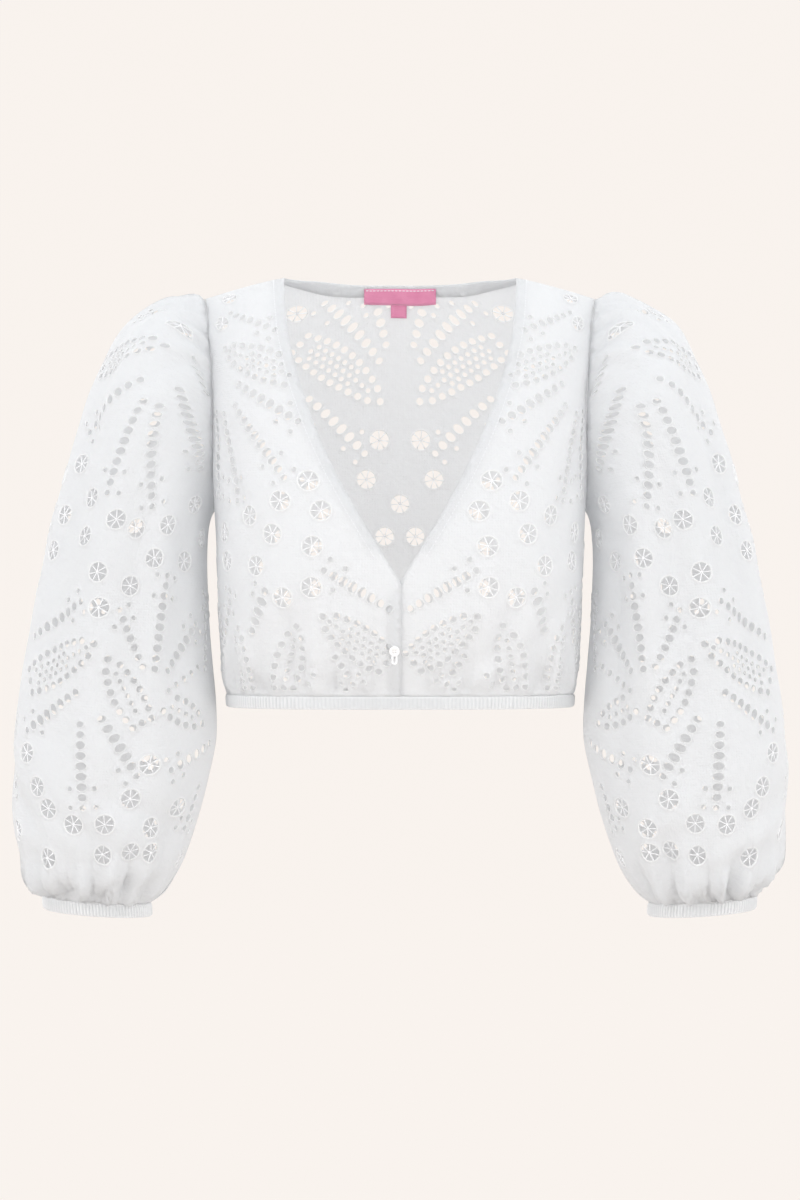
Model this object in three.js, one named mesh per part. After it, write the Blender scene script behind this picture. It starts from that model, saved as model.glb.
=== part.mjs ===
// A cropped dirndl blouse of white cutwork cotton, in the rounded shape that it has when worn.
// Millimetres, +Z up, the front faces -Y. The origin lies midway between the two neck points
// of the shoulder seams, where the blouse rests on its wearer.
//
// Every cloth piece is drawn flat, as it is cut, and then laid on a curved form:
// body cloth by (across, down) from the centre line and the shoulder seam,
// sleeve cloth by (around, up) from the top line and the cuff seam.
import * as THREE from 'three';

// Driving sizes
const WALL = 1.2;               // cotton with its raised embroidery
const SEAM_GAP = 0.3;           // between two pieces sewn edge to edge
const HALF_GAP = SEAM_GAP / 2;
const NECK_HALF_WIDTH = 95;     // neck point to the centre line
const V_CLOTH = 297;            // cloth from the shoulder seam's level down to the point of the V
const BACK_NECK_CLOTH = 58;     // cloth from the shoulder seam's level to the centre back neck edge
const HEM_CLOTH = 396;          // shoulder seam to the top of the hem band
const HEM_BAND_HEIGHT = 10.5;
const UNDERARM_CLOTH = 237;
const OVERLAP = 11;             // the wearer's left front runs this far under the right one
const UNDERLAP_DEPTH = 3.2;     // how far the under layer lies in
const BODY_FLAT_RADIUS = 150;   // turns an angle round the body into cloth
const SLEEVE_FLAT_RADIUS = 75;  // turns an angle round the sleeve into cloth
const CUFF_HEIGHT = 10.5;
const BAND_THICKNESS = 2.8;     // elastic inside its casing
const FACING_WIDTH = 9;
const FACING_THICKNESS = 0.8;
const SIDE = BODY_FLAT_RADIUS * Math.PI / 2;         // side seam, from the centre line
const UNDERARM = SLEEVE_FLAT_RADIUS * Math.PI;       // underarm seam, from the sleeve's top line

// The body form, by cloth length down from the shoulder seam
const BODY_RINGS = [
  { cloth: 0, half: 166, front: 0.2, back: 0.2, drop: 0 },
  { cloth: 15, half: 165, front: 14.5, back: 14.5, drop: -2.2 },
  { cloth: 35, half: 164, front: 32.5, back: 33, drop: -10 },
  { cloth: 60, half: 163, front: 51, back: 53, drop: -27 },
  { cloth: 95, half: 161, front: 71, back: 76, drop: -56 },
  { cloth: 140, half: 158, front: 91, back: 95, drop: -97 },
  { cloth: 190, half: 154, front: 109, back: 104, drop: -144 },
  { cloth: 240, half: 151, front: 122, back: 105, drop: -193 },
  { cloth: 285, half: 149, front: 127, back: 101, drop: -238 },
  { cloth: 325, half: 147.5, front: 124, back: 98, drop: -278 },
  { cloth: 360, half: 145.5, front: 114, back: 96, drop: -310 },
  { cloth: 385, half: 142.5, front: 103, back: 91, drop: -332 },
  { cloth: 396, half: 141.5, front: 100, back: 88, drop: -340.5 },
  { cloth: 408, half: 141, front: 99.5, back: 87.5, drop: -352 },
];
const SQUARENESS = 2.8;         // 2 is an oval, more is boxier
const NECK_RISE = 30;           // the shoulder line climbs this much towards the neck's middle
const SHOULDER_FALL = 17;       // and falls this much from the neck point to the shoulder's tip
const SHOULDER_LENGTH = 64;
const SHAPING_CLOTH = 220;      // the shoulder's slope has faded out by here

// The V neck's edge on the form: half width by cloth length
const NECKLINE = [
  { cloth: 0, half: 95 },
  { cloth: 35, half: 94 },
  { cloth: 60, half: 92.5 },
  { cloth: 95, half: 88.5 },
  { cloth: 140, half: 78 },
  { cloth: 190, half: 60 },
  { cloth: 240, half: 34.5 },
  { cloth: 285, half: 7.5 },
  { cloth: V_CLOTH, half: 0 },
];

// The armhole seam: angle round the body by cloth length
const ARMHOLE = [
  { cloth: 0, angle: 66 },
  { cloth: 60, angle: 64 },
  { cloth: 110, angle: 63 },
  { cloth: 150, angle: 64.5 },
  { cloth: 185, angle: 69 },
  { cloth: 212, angle: 76.5 },
  { cloth: 229, angle: 83.5 },
  { cloth: UNDERARM_CLOTH, angle: 90 },
];

// The sleeve form: rings from the armhole to the cuff, by their outer and inner points
const SLEEVE_RINGS = [
  { ring: 0, outX: 159, outZ: -18, inX: 151.3, inZ: -190, midY: 0, halfY: 40 },
  { ring: 1, outX: 176, outZ: -15, inX: 154.5, inZ: -196, midY: -1, halfY: 58 },
  { ring: 2, outX: 204, outZ: -23, inX: 156.8, inZ: -206, midY: -3, halfY: 71 },
  { ring: 3, outX: 231, outZ: -46, inX: 157.8, inZ: -222, midY: -6, halfY: 78 },
  { ring: 4, outX: 250, outZ: -87, inX: 157.8, inZ: -241, midY: -9, halfY: 80 },
  { ring: 5, outX: 267, outZ: -140, inX: 156.6, inZ: -264, midY: -12, halfY: 80 },
  { ring: 6, outX: 282, outZ: -195, inX: 155, inZ: -291, midY: -14, halfY: 79 },
  { ring: 7, outX: 294, outZ: -250, inX: 152.5, inZ: -319, midY: -16, halfY: 78 },
  { ring: 8, outX: 304, outZ: -305, inX: 150, inZ: -347, midY: -18, halfY: 77 },
  { ring: 9, outX: 312, outZ: -360, inX: 149.5, inZ: -376, midY: -20, halfY: 76 },
  { ring: 10, outX: 315, outZ: -412, inX: 155, inZ: -405, midY: -21, halfY: 75 },
  { ring: 11, outX: 312, outZ: -452, inX: 164, inZ: -440, midY: -22, halfY: 72 },
  { ring: 12, outX: 304, outZ: -480, inX: 176, inZ: -474, midY: -22, halfY: 65 },
  { ring: 13, outX: 293, outZ: -497, inX: 190, inZ: -498, midY: -22, halfY: 53 },
  { ring: 14, outX: 289, outZ: -504, inX: 203, inZ: -510, midY: -22, halfY: 39 },
];
const LAST_RING = SLEEVE_RINGS.length - 1;
const CUFF_TILT = { x: -0.07, z: -1 };      // the way the cuff runs down from its seam
const ARMHOLE_BLEND = 1.6;                  // rings over which the sleeve leaves the armhole's shape

// Gathers: how many waves, how high, and how far from the seam they are highest
const HEM_GATHERS = { waves: 7, height: 3.2, reach: 15 };       // on each half front and half back
const CUFF_GATHERS = { waves: 7, height: 4.2, reach: 17 };      // on each half sleeve
const CAP_GATHERS = { waves: 5, height: 2.6, reach: 16, width: 100 };
const HEM_RIBS = 66;
const CUFF_RIBS = 22;
const RIB_HEIGHT = 0.7;

// Largest folds: a soft trough or ridge between two places on the cloth
const BODY_FOLDS = {
  front: [
    { across: -45, down: 345, toAcross: -33, toDown: 392, width: 7, height: -4 },
    { across: 56, down: 340, toAcross: 32, toDown: 390, width: 7, height: -4 },
    { across: -97, down: 318, toAcross: -74, toDown: 382, width: 9, height: -5 },
    { across: 94, down: 312, toAcross: 62, toDown: 382, width: 9, height: -5 },
    { across: 128, down: 320, toAcross: 104, toDown: 366, width: 9, height: -4 },
    { across: -132, down: 350, toAcross: -108, toDown: 388, width: 9, height: 4 },
    { across: -150, down: 190, toAcross: -118, toDown: 262, width: 13, height: -3.5 },
    { across: 150, down: 190, toAcross: 122, toDown: 268, width: 13, height: -3.5 },
    { across: -112, down: 30, toAcross: -140, toDown: 78, width: 10, height: -2 },
    { across: 106, down: 26, toAcross: 138, toDown: 70, width: 10, height: -2 },
    { across: -62, down: 372, toAcross: -16, toDown: 388, width: 8, height: 3 },
    { across: 80, down: 366, toAcross: 50, toDown: 388, width: 7, height: 4 },
  ],
  back: [
    { across: -150, down: 180, toAcross: -96, toDown: 296, width: 15, height: -4 },
    { across: 150, down: 180, toAcross: 100, toDown: 304, width: 15, height: -4 },
    { across: -120, down: 300, toAcross: -92, toDown: 388, width: 10, height: -5 },
    { across: 112, down: 296, toAcross: 88, toDown: 388, width: 10, height: -5 },
    { across: -30, down: 310, toAcross: -38, toDown: 390, width: 10, height: -4 },
    { across: 40, down: 322, toAcross: 34, toDown: 390, width: 9, height: -4 },
    { across: -70, down: 330, toAcross: -64, toDown: 390, width: 9, height: 4 },
    { across: 4, down: 340, toAcross: 0, toDown: 390, width: 9, height: 3.5 },
  ],
};
const SLEEVE_FOLDS = {
  right: [  // the wearer's right sleeve
    { around: 44, up: 470, toAround: 66, toUp: 150, width: 16, height: -6 },
    { around: 96, up: 420, toAround: 104, toUp: 90, width: 13, height: 4 },
    { around: 128, up: 372, toAround: 136, toUp: 120, width: 14, height: -6 },
    { around: 14, up: 560, toAround: 30, toUp: 430, width: 13, height: -5 },
    { around: 70, up: 500, toAround: 60, toUp: 400, width: 12, height: 4 },
    { around: 176, up: 330, toAround: 170, toUp: 150, width: 14, height: -4 },
    { around: 10, up: 110, toAround: 62, toUp: 60, width: 11, height: -5 },
    { around: 78, up: 84, toAround: 150, toUp: 46, width: 10, height: -5 },
    { around: 126, up: 100, toAround: 190, toUp: 74, width: 10, height: -4 },
    { around: -40, up: 520, toAround: -62, toUp: 180, width: 17, height: -6 },
    { around: -110, up: 400, toAround: -122, toUp: 90, width: 16, height: -6 },
    { around: -168, up: 330, toAround: -160, toUp: 120, width: 14, height: -4 },
    { around: -20, up: 90, toAround: -86, toUp: 56, width: 11, height: -5 },
    { around: -110, up: 70, toAround: -180, toUp: 60, width: 10, height: -4 },
  ],
  left: [  // the wearer's left sleeve
    { around: 50, up: 480, toAround: 60, toUp: 170, width: 15, height: -6 },
    { around: 88, up: 440, toAround: 92, toUp: 120, width: 13, height: 4 },
    { around: 116, up: 392, toAround: 122, toUp: 90, width: 13, height: -6 },
    { around: 20, up: 560, toAround: 34, toUp: 420, width: 12, height: -5 },
    { around: 150, up: 350, toAround: 148, toUp: 180, width: 13, height: 4 },
    { around: 186, up: 320, toAround: 176, toUp: 130, width: 14, height: -5 },
    { around: 18, up: 96, toAround: 80, toUp: 70, width: 11, height: -5 },
    { around: 96, up: 96, toAround: 164, toUp: 52, width: 10, height: -5 },
    { around: 60, up: 52, toAround: 120, toUp: 34, width: 8, height: -4 },
    { around: -46, up: 520, toAround: -56, toUp: 160, width: 17, height: -6 },
    { around: -102, up: 410, toAround: -116, toUp: 100, width: 16, height: -6 },
    { around: -172, up: 320, toAround: -158, toUp: 140, width: 14, height: -4 },
    { around: -28, up: 86, toAround: -92, toUp: 60, width: 11, height: -5 },
    { around: -120, up: 76, toAround: -176, toUp: 56, width: 10, height: -4 },
  ],
};

// The cutwork, charted on half of each piece and mirrored onto the other half. A ray is a line of
// oval eyelets that swell on its way out, a leaf is a net of round ones, pointed where it starts,
// and a wheel is a large eyelet with thread spokes.
const HEM_RAYS = [
  { from: [5, 320], to: [62, 286], widest: 4.6 },
  { from: [122, 340], to: [104, 300], widest: 5.6 },
  { from: [54, 356], to: [36, 386], widest: 3.2 },
  { from: [66, 368], to: [76, 389], widest: 2.6 },
  { from: [176, 374], to: [150, 300], widest: 4.4 },
  { from: [188, 376], to: [190, 294], widest: 4.4 },
  { from: [200, 374], to: [224, 306], widest: 4.4 },
];
const HEM_LEAVES = [
  { from: [60, 324], to: [11, 364], widest: 14 },
  { from: [82, 333], to: [94, 386], widest: 10.5 },
  { from: [138, 334], to: [134, 388], widest: 10 },
];
const SIDE_RAYS = [
  { from: [158, 150], to: [168, 232], widest: 4.2 },
  { from: [146, 153], to: [137, 236], widest: 4.6 },
  { from: [132, 147], to: [85, 218], widest: 4.6 },
  { from: [128, 128], to: [72, 171], widest: 4.6 },
];
const SIDE_WHEELS = [
  [69, 217], [91, 233], [121, 244], [99, 259], [60, 241], [67, 269], [115, 284], [68, 301],
  [91, 309], [142, 64], [132, 32], [157, 257], [152, 280], [190, 272], [214, 284],
];
const FRONT_CHART = {
  rays: [...SIDE_RAYS, { from: [135, 50], to: [87, 88], widest: 3.6 }, ...HEM_RAYS],
  leaves: [{ from: [138, 94], to: [80, 128], widest: 13 }, ...HEM_LEAVES],
  wheels: SIDE_WHEELS,
};
const BACK_CHART = {
  rays: [
    { from: [14, 119], to: [59, 52], widest: 4.6 },
    { from: [10, 108], to: [20, 66], widest: 3.8 },
    { from: [74, 134], to: [26, 190], widest: 4.8 },
    ...SIDE_RAYS,
    ...HEM_RAYS,
  ],
  leaves: [
    { from: [16, 146], to: [76, 88], widest: 13 },
    { from: [142, 98], to: [100, 118], widest: 10 },
    ...HEM_LEAVES,
  ],
  wheels: [[17, 176], [28, 208], [77, 58], [0, 229], [13, 257], ...SIDE_WHEELS],
};
const SLEEVE_CHART = {
  rays: [
    { from: [106, 421], to: [136, 328], widest: 4.8 },
    { from: [96, 422], to: [91, 336], widest: 4.8 },
    { from: [86, 440], to: [38, 386], widest: 4.4 },
    { from: [104, 444], to: [168, 370], widest: 4.6 },
    { from: [150, 199], to: [159, 282], widest: 4.6 },
    { from: [160, 199], to: [198, 243], widest: 4.2 },
    { from: [143, 201], to: [116, 252], widest: 3.6 },
    { from: [31, 217], to: [88, 255], widest: 4.4 },
    { from: [94, 183], to: [42, 142], widest: 4.8 },
    { from: [97, 160], to: [105, 86], widest: 4.4 },
    { from: [110, 165], to: [146, 114], widest: 4.8 },
    { from: [216, 146], to: [166, 121], widest: 4.4 },
    { from: [209, 112], to: [201, 70], widest: 4 },
    { from: [160, 184], to: [200, 208], widest: 2.8 },
    { from: [82, 492], to: [114, 458], widest: 2.6 },
    { from: [38, 524], to: [8, 496], widest: 3.6 },
    { from: [12, 250], to: [10, 330], widest: 4.4 },
    { from: [16, 160], to: [13, 84], widest: 4.4 },
    { from: [206, 200], to: [222, 268], widest: 3.8 },
    { from: [148, 440], to: [186, 378], widest: 3.6 },
  ],
  leaves: [
    { from: [74, 476], to: [20, 444], widest: 12 },
    { from: [102, 220], to: [40, 184], widest: 14 },
    { from: [113, 209], to: [143, 160], widest: 11 },
    { from: [198, 160], to: [162, 176], widest: 9 },
    { from: [122, 478], to: [158, 440], widest: 8 },
  ],
  wheels: [
    [44, 363], [74, 336], [104, 320], [123, 314], [153, 318], [40, 320], [76, 305], [144, 291],
    [181, 290], [97, 277], [125, 268], [102, 249], [62, 102], [73, 86], [96, 76], [122, 78],
    [141, 99], [152, 127], [48, 127], [162, 76], [166, 56], [122, 52], [147, 56], [70, 46],
    [60, 506], [181, 338], [18, 352], [36, 290], [30, 62], [205, 310], [186, 92], [212, 48],
  ],
};
const WHEEL_RADIUS = 7.6;
const EYELET_PITCH = 8.2;
const EYELET_HALF_LENGTH = 3.2;
const DOT_RADIUS = 2;
const SMALL_RAY = 3;            // a ray narrower than this has no dots beside it
const LEAF_RIM = { pitch: 7.8, radius: 2.9 };
const LEAF_NET = { pitch: 6.6, row: 5.6, radius: 1.95, inside: 5.4 };
const BAR = 1.5;                // the least cloth left between two eyelets
const EDGE_MARGIN = 3;          // and between an eyelet and the piece's edge

// Only the largest eyelets are cut through the solid cloth: the wheels, then the widest of each ray
const MOST_CUTS = { front: 34, back: 58, sleeve: 38 };
const WHEEL_SIDES = 7;
const EYELET_SIDES = 5;
const POINT_SPACING = 31;       // between the mesh points of plain cloth
const CLEAR_OF_HOLE = 9;        // plain mesh points stay this far from an eyelet's edge

const COTTON = { color: 0xf6f7f9, roughness: 0.85, metalness: 0 };
const ELASTIC = { color: 0xf1f2f5, roughness: 0.9, metalness: 0 };
const PEARL = { color: 0xf4f1ec, roughness: 0.25, metalness: 0 };
const WOVEN_PINK = { color: 0xdf87b0, roughness: 0.75, metalness: 0 };

// Small mathematics
const degrees = (value) => value * Math.PI / 180;
const clamp01 = (value) => Math.min(1, Math.max(0, value));
const smooth = (value) => clamp01(value) ** 2 * (3 - 2 * clamp01(value));

// A smooth curve through a table's rows: the named column at a value of the key column
function read(rows, key, at, column) {
  let i = 0;
  while (i < rows.length - 2 && at > rows[i + 1][key]) {
    i += 1;
  }
  const slope = (j) => {
    const before = rows[Math.max(0, j - 1)];
    const after = rows[Math.min(rows.length - 1, j + 1)];
    return (after[column] - before[column]) / (after[key] - before[key]);
  };
  const span = rows[i + 1][key] - rows[i][key];
  const u = clamp01((at - rows[i][key]) / span);
  const from = rows[i][column];
  const to = rows[i + 1][column];
  return (2 * u ** 3 - 3 * u ** 2 + 1) * from + (u ** 3 - 2 * u ** 2 + u) * span * slope(i)
    + (-2 * u ** 3 + 3 * u ** 2) * to + (u ** 3 - u ** 2) * span * slope(i + 1);
}

// A fold's height at a place on the cloth
function foldAt(fold, x, y, names) {
  const [fromX, fromY, toX, toY] = names.map((name) => fold[name]);
  const runX = toX - fromX;
  const runY = toY - fromY;
  const u = clamp01(((x - fromX) * runX + (y - fromY) * runY) / (runX ** 2 + runY ** 2));
  const away = Math.hypot(x - fromX - u * runX, y - fromY - u * runY);
  return fold.height * Math.exp(-((away / fold.width) ** 2)) * Math.sin(Math.PI * (0.15 + 0.7 * u));
}

// A gather wave beside a seam: nothing at the seam, highest at its reach, then fading
function gatherAt(gathers, distance, phase) {
  const u = Math.max(0, distance) / gathers.reach;
  return gathers.height * u * Math.exp(1 - u) * Math.cos(phase);
}

// The body form
const squareRadius = (angle) => (
  (Math.abs(Math.sin(angle)) ** SQUARENESS + Math.abs(Math.cos(angle)) ** SQUARENESS) ** (-1 / SQUARENESS)
);

function acrossAt(halfWidth, cloth) {
  const share = Math.min(0.9999, halfWidth / read(BODY_RINGS, 'cloth', cloth, 'half'));
  const cotangent = share <= 0 ? Infinity : (share ** -SQUARENESS - 1) ** (1 / SQUARENESS);
  return share <= 0 ? 0 : BODY_FLAT_RADIUS * Math.atan2(1, cotangent);
}

function bodyForm(face, across, down) {
  const angle = across / BODY_FLAT_RADIUS;
  const radius = squareRadius(angle);
  const cloth = Math.max(0, down);
  const x = read(BODY_RINGS, 'cloth', cloth, 'half') * Math.sin(angle) * radius;
  const depth = read(BODY_RINGS, 'cloth', cloth, face) * Math.cos(angle) * radius;
  const beyond = Math.abs(x) / NECK_HALF_WIDTH - 1;
  const rise = beyond < 0
    ? NECK_RISE * (1 - (x / NECK_HALF_WIDTH) ** 2) ** 2
    : -SHOULDER_FALL * (beyond * NECK_HALF_WIDTH / SHOULDER_LENGTH) ** 1.2;
  const z = read(BODY_RINGS, 'cloth', cloth, 'drop') + rise * (1 - smooth(cloth / SHAPING_CLOTH));
  return new THREE.Vector3(x, face === 'front' ? -depth : depth, z);
}

function bodyRelief(face, across, down) {
  const names = ['across', 'down', 'toAcross', 'toDown'];
  const folds = BODY_FOLDS[face].reduce((sum, fold) => sum + foldAt(fold, across, down, names), 0);
  const phase = 2 * Math.PI * HEM_GATHERS.waves * across / SIDE;
  const besideSleeve = 1 - 0.75 * smooth((Math.abs(across) - 0.72 * SIDE) / (0.2 * SIDE));
  const besidePlacket = face === 'front' ? smooth((Math.abs(across) - 8) / 18) : 1;
  return (folds + gatherAt(HEM_GATHERS, HEM_CLOTH - down, phase)) * besideSleeve * besidePlacket;
}

// A point on a surface, lifted off it along its normal
function lifted(form, u, v, lift, outward) {
  const step = 0.5;
  const base = form(u, v);
  const alongU = form(u + step, v).sub(form(u - step, v));
  const alongV = form(u, v + step).sub(form(u, Math.max(v - step, 0)));
  return base.addScaledVector(alongU.cross(alongV).normalize(), outward * lift);
}

function onBody(face, inset = 0) {
  const outward = face === 'front' ? -1 : 1;
  return (across, down, lift) => {
    const depth = typeof inset === 'function' ? inset(across) : inset;
    const relief = bodyRelief(face, across, down) - depth;
    const point = lifted((u, v) => bodyForm(face, u, v), across, down, relief + lift, outward);
    point.y = outward * Math.max(HALF_GAP, outward * point.y);  // front and back stay a seam apart
    return point;
  };
}

// The armhole seam in space, and the sleeve form that grows out of it
const armholeAngle = (down) => degrees(read(ARMHOLE, 'cloth', down, 'angle'));
const armholeAcross = (down) => BODY_FLAT_RADIUS * armholeAngle(down);

function armholeLine(face) {
  const steps = 60;
  const line = [];
  for (let i = 0; i <= steps; i += 1) {
    const down = UNDERARM_CLOTH * i / steps;
    line.push(bodyForm(face, armholeAcross(down), down));
  }
  return new THREE.CatmullRomCurve3(line, false, 'centripetal');
}
const ARMHOLE_LINES = { front: armholeLine('front'), back: armholeLine('back') };
const ARMHOLE_POINTS = 18;      // shared by the body's edge and the sleeve's cap

// Cloth lengths down at even steps along the armhole seam, from the underarm to the shoulder
function armholeDowns(face) {
  const downs = [];
  for (let i = ARMHOLE_POINTS; i > 0; i -= 1) {
    downs.push(ARMHOLE_LINES[face].getUtoTmapping(i / ARMHOLE_POINTS) * UNDERARM_CLOTH);
  }
  return downs;
}

function plainRingPoint(angle, ring) {
  const part = (column) => read(SLEEVE_RINGS, 'ring', ring, column);
  const across = (1 + Math.cos(angle)) / 2;
  return new THREE.Vector3(
    part('inX') + (part('outX') - part('inX')) * across,
    part('midY') - part('halfY') * Math.sin(angle),
    part('inZ') + (part('outZ') - part('inZ')) * across,
  );
}

function ringPoint(angle, ring) {
  const point = plainRingPoint(angle, ring);
  const stay = 1 - smooth(ring / ARMHOLE_BLEND);
  if (stay > 0) {
    const line = ARMHOLE_LINES[angle >= 0 ? 'front' : 'back'];
    const seam = line.getPointAt(clamp01(Math.abs(angle) / Math.PI));
    point.addScaledVector(seam.sub(plainRingPoint(angle, 0)), stay);
  }
  return point;
}

// Cloth lengths up from the cuff, measured along the sleeve at even angles
const SLEEVE_LINES = 48;
const STEPS_PER_RING = 4;

function measureSleeveLine(angle) {
  const lengths = [0];
  for (let i = LAST_RING * STEPS_PER_RING - 1; i >= 0; i -= 1) {
    const here = ringPoint(angle, i / STEPS_PER_RING);
    const below = ringPoint(angle, (i + 1) / STEPS_PER_RING);
    lengths.push(lengths[lengths.length - 1] + here.distanceTo(below));
  }
  return lengths;
}
const SLEEVE_LENGTHS = Array.from(
  { length: SLEEVE_LINES + 1 },
  (_, i) => measureSleeveLine(Math.PI * (2 * i / SLEEVE_LINES - 1)),
);

function betweenLines(around, value) {
  const at = (around / UNDERARM + 1) / 2 * SLEEVE_LINES;
  const i = Math.min(SLEEVE_LINES - 1, Math.max(0, Math.floor(at)));
  const share = at - i;
  return value(SLEEVE_LENGTHS[i]) * (1 - share) + value(SLEEVE_LENGTHS[i + 1]) * share;
}

const capHeight = (around) => betweenLines(around, (lengths) => lengths[lengths.length - 1]);

function ringAt(around, up) {
  return betweenLines(around, (lengths) => {
    let i = 0;
    while (i < lengths.length - 2 && up > lengths[i + 1]) {
      i += 1;
    }
    const steps = i + (up - lengths[i]) / (lengths[i + 1] - lengths[i]);
    return LAST_RING - steps / STEPS_PER_RING;
  });
}

function sleeveForm(around, up) {
  const turn = 2 * UNDERARM;
  const wrapped = around - turn * Math.round(around / turn);
  return ringPoint(wrapped / SLEEVE_FLAT_RADIUS, Math.min(LAST_RING, Math.max(0, ringAt(wrapped, up))));
}

function sleeveRelief(side, around, up) {
  const names = ['around', 'up', 'toAround', 'toUp'];
  const folds = SLEEVE_FOLDS[side].reduce((sum, fold) => sum + foldAt(fold, around, up, names), 0);
  const cuff = gatherAt(CUFF_GATHERS, up, 2 * Math.PI * CUFF_GATHERS.waves * around / UNDERARM);
  const capPhase = 2 * Math.PI * CAP_GATHERS.waves * around / CAP_GATHERS.width;
  const capShare = 1 - smooth((Math.abs(around) - CAP_GATHERS.width * 0.8) / 24);
  const cap = gatherAt(CAP_GATHERS, capHeight(around) - up, capPhase) * capShare;
  const besideBody = 1 - 0.85 * smooth((Math.abs(around) - 0.74 * UNDERARM) / (0.16 * UNDERARM));
  return (folds + cuff + cap) * besideBody;
}

function onSleeve(side) {
  const mirror = side === 'right' ? -1 : 1;
  return (around, up, lift) => {
    const relief = sleeveRelief(side, around, up);
    const point = lifted(sleeveForm, around, up, relief + lift, -1);
    point.x *= mirror;
    return point;
  };
}

// Flat outlines, as closed loops of [across, along]
function line(from, to, spacing) {
  const count = Math.max(1, Math.round(Math.hypot(to[0] - from[0], to[1] - from[1]) / spacing));
  const points = [];
  for (let i = 0; i < count; i += 1) {
    points.push([from[0] + (to[0] - from[0]) * i / count, from[1] + (to[1] - from[1]) * i / count]);
  }
  return points;
}

function curve(place, from, to, count) {
  const points = [];
  for (let i = 0; i < count; i += 1) {
    points.push(place(from + (to - from) * i / count));
  }
  return points;
}

const necklineAcross = (down) => acrossAt(read(NECKLINE, 'cloth', down, 'half'), down);
const NECK_ACROSS = necklineAcross(0);
const TOP = HALF_GAP;
const BOTTOM = HEM_CLOTH - HALF_GAP;
const ARMHOLE_INSET = 0.35;
const backNeckDown = (across) => BACK_NECK_CLOTH * (1 - Math.min(1, Math.abs(across) / NECK_ACROSS) ** 2.2);
const NECK_STEPS = 14;
const NECK_DOWNS = curve((share) => Math.max(TOP, V_CLOTH * share), 0, 1, NECK_STEPS);
const BACK_NECK_STEPS = 8;
const BACK_NECK_ACROSS = curve((share) => NECK_ACROSS * (1 - share), 0, 1, BACK_NECK_STEPS);
const armholeEdge = (down) => [armholeAcross(down) - ARMHOLE_INSET, down + ARMHOLE_INSET * (down / UNDERARM_CLOTH)];
const GATHER_STEP = SIDE / (2 * HEM_GATHERS.waves);

// The right-hand half of a front, from the centre to the side seam; the edge at the centre differs
function halfFrontOutline(centreEdge) {
  return [
    ...centreEdge,
    ...line([0, BOTTOM], [SIDE - HALF_GAP, BOTTOM], GATHER_STEP),
    ...line([SIDE - HALF_GAP, BOTTOM], [SIDE - HALF_GAP, UNDERARM_CLOTH + HALF_GAP], 26),
    ...armholeDowns('front').map(armholeEdge),
    ...line([armholeAcross(0) - ARMHOLE_INSET, TOP], [NECK_ACROSS, TOP], 22),
    ...NECK_DOWNS.map((down) => [necklineAcross(down), down]),
  ];
}

function backOutline() {
  const right = [
    ...line([0, BOTTOM], [SIDE - HALF_GAP, BOTTOM], GATHER_STEP),
    ...line([SIDE - HALF_GAP, BOTTOM], [SIDE - HALF_GAP, UNDERARM_CLOTH + HALF_GAP], 26),
    ...armholeDowns('back').map(armholeEdge),
    ...line([armholeAcross(0) - ARMHOLE_INSET, TOP], [NECK_ACROSS, TOP], 22),
    ...BACK_NECK_ACROSS.map((x) => [x, Math.max(TOP, backNeckDown(x))]),
  ];
  const left = right.slice(1).map(([x, y]) => [-x, y]).reverse();
  return [...right, [0, BACK_NECK_CLOTH], ...left];
}

function halfSleeveOutline(sign) {
  const inner = UNDERARM - SEAM_GAP;
  const start = 2 * SEAM_GAP;
  const step = inner / (2 * CUFF_GATHERS.waves);
  const cap = (around) => [around * sign, capHeight(around * sign) - SEAM_GAP];
  return [
    ...line([SEAM_GAP * sign, start], [inner * sign, start], step),
    ...line([inner * sign, start], cap(inner), 30),
    cap(inner),
    ...curve(cap, UNDERARM, 0, ARMHOLE_POINTS).slice(1),
    ...line(cap(SEAM_GAP), [SEAM_GAP * sign, start], 30),
  ];
}

// Eyelets: an oval with its centre, its two half sizes and the way that its width points
function onBranch(branch, sign) {
  const [fromX, fromY] = [branch.from[0] * sign, branch.from[1]];
  const [runX, runY] = [branch.to[0] * sign - fromX, branch.to[1] - fromY];
  const length = Math.hypot(runX, runY);
  const [alongX, alongY] = [runX / length, runY / length];
  const turn = Math.atan2(alongY, alongX) - Math.PI / 2;
  const eyelet = (share, off, half, halfLength) => ({
    x: fromX + alongX * share * length - alongY * off,
    y: fromY + alongY * share * length + alongX * off,
    half, length: halfLength, turn, wheel: false,
  });
  return { length, eyelet };
}

function rayEyelets(ray, sign) {
  const { length, eyelet } = onBranch(ray, sign);
  const count = Math.floor(length / EYELET_PITCH);
  const eyelets = [];
  for (let i = 0; i < count; i += 1) {
    const share = (i + 0.5) / count;
    const swell = Math.sin(Math.PI * (share ** 1.35 * 0.85 + 0.12));
    const half = DOT_RADIUS + (ray.widest - DOT_RADIUS) * swell;
    eyelets.push(eyelet(share, 0, half, Math.min(EYELET_HALF_LENGTH, Math.max(DOT_RADIUS, half * 0.85))));
  }
  for (const share of ray.widest < SMALL_RAY ? [] : [0.74, 0.94]) {
    for (const way of [-1, 1]) {
      eyelets.push(eyelet(share, way * (ray.widest + 3.6 + 2 * share), DOT_RADIUS, DOT_RADIUS));
    }
  }
  return eyelets;
}

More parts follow.
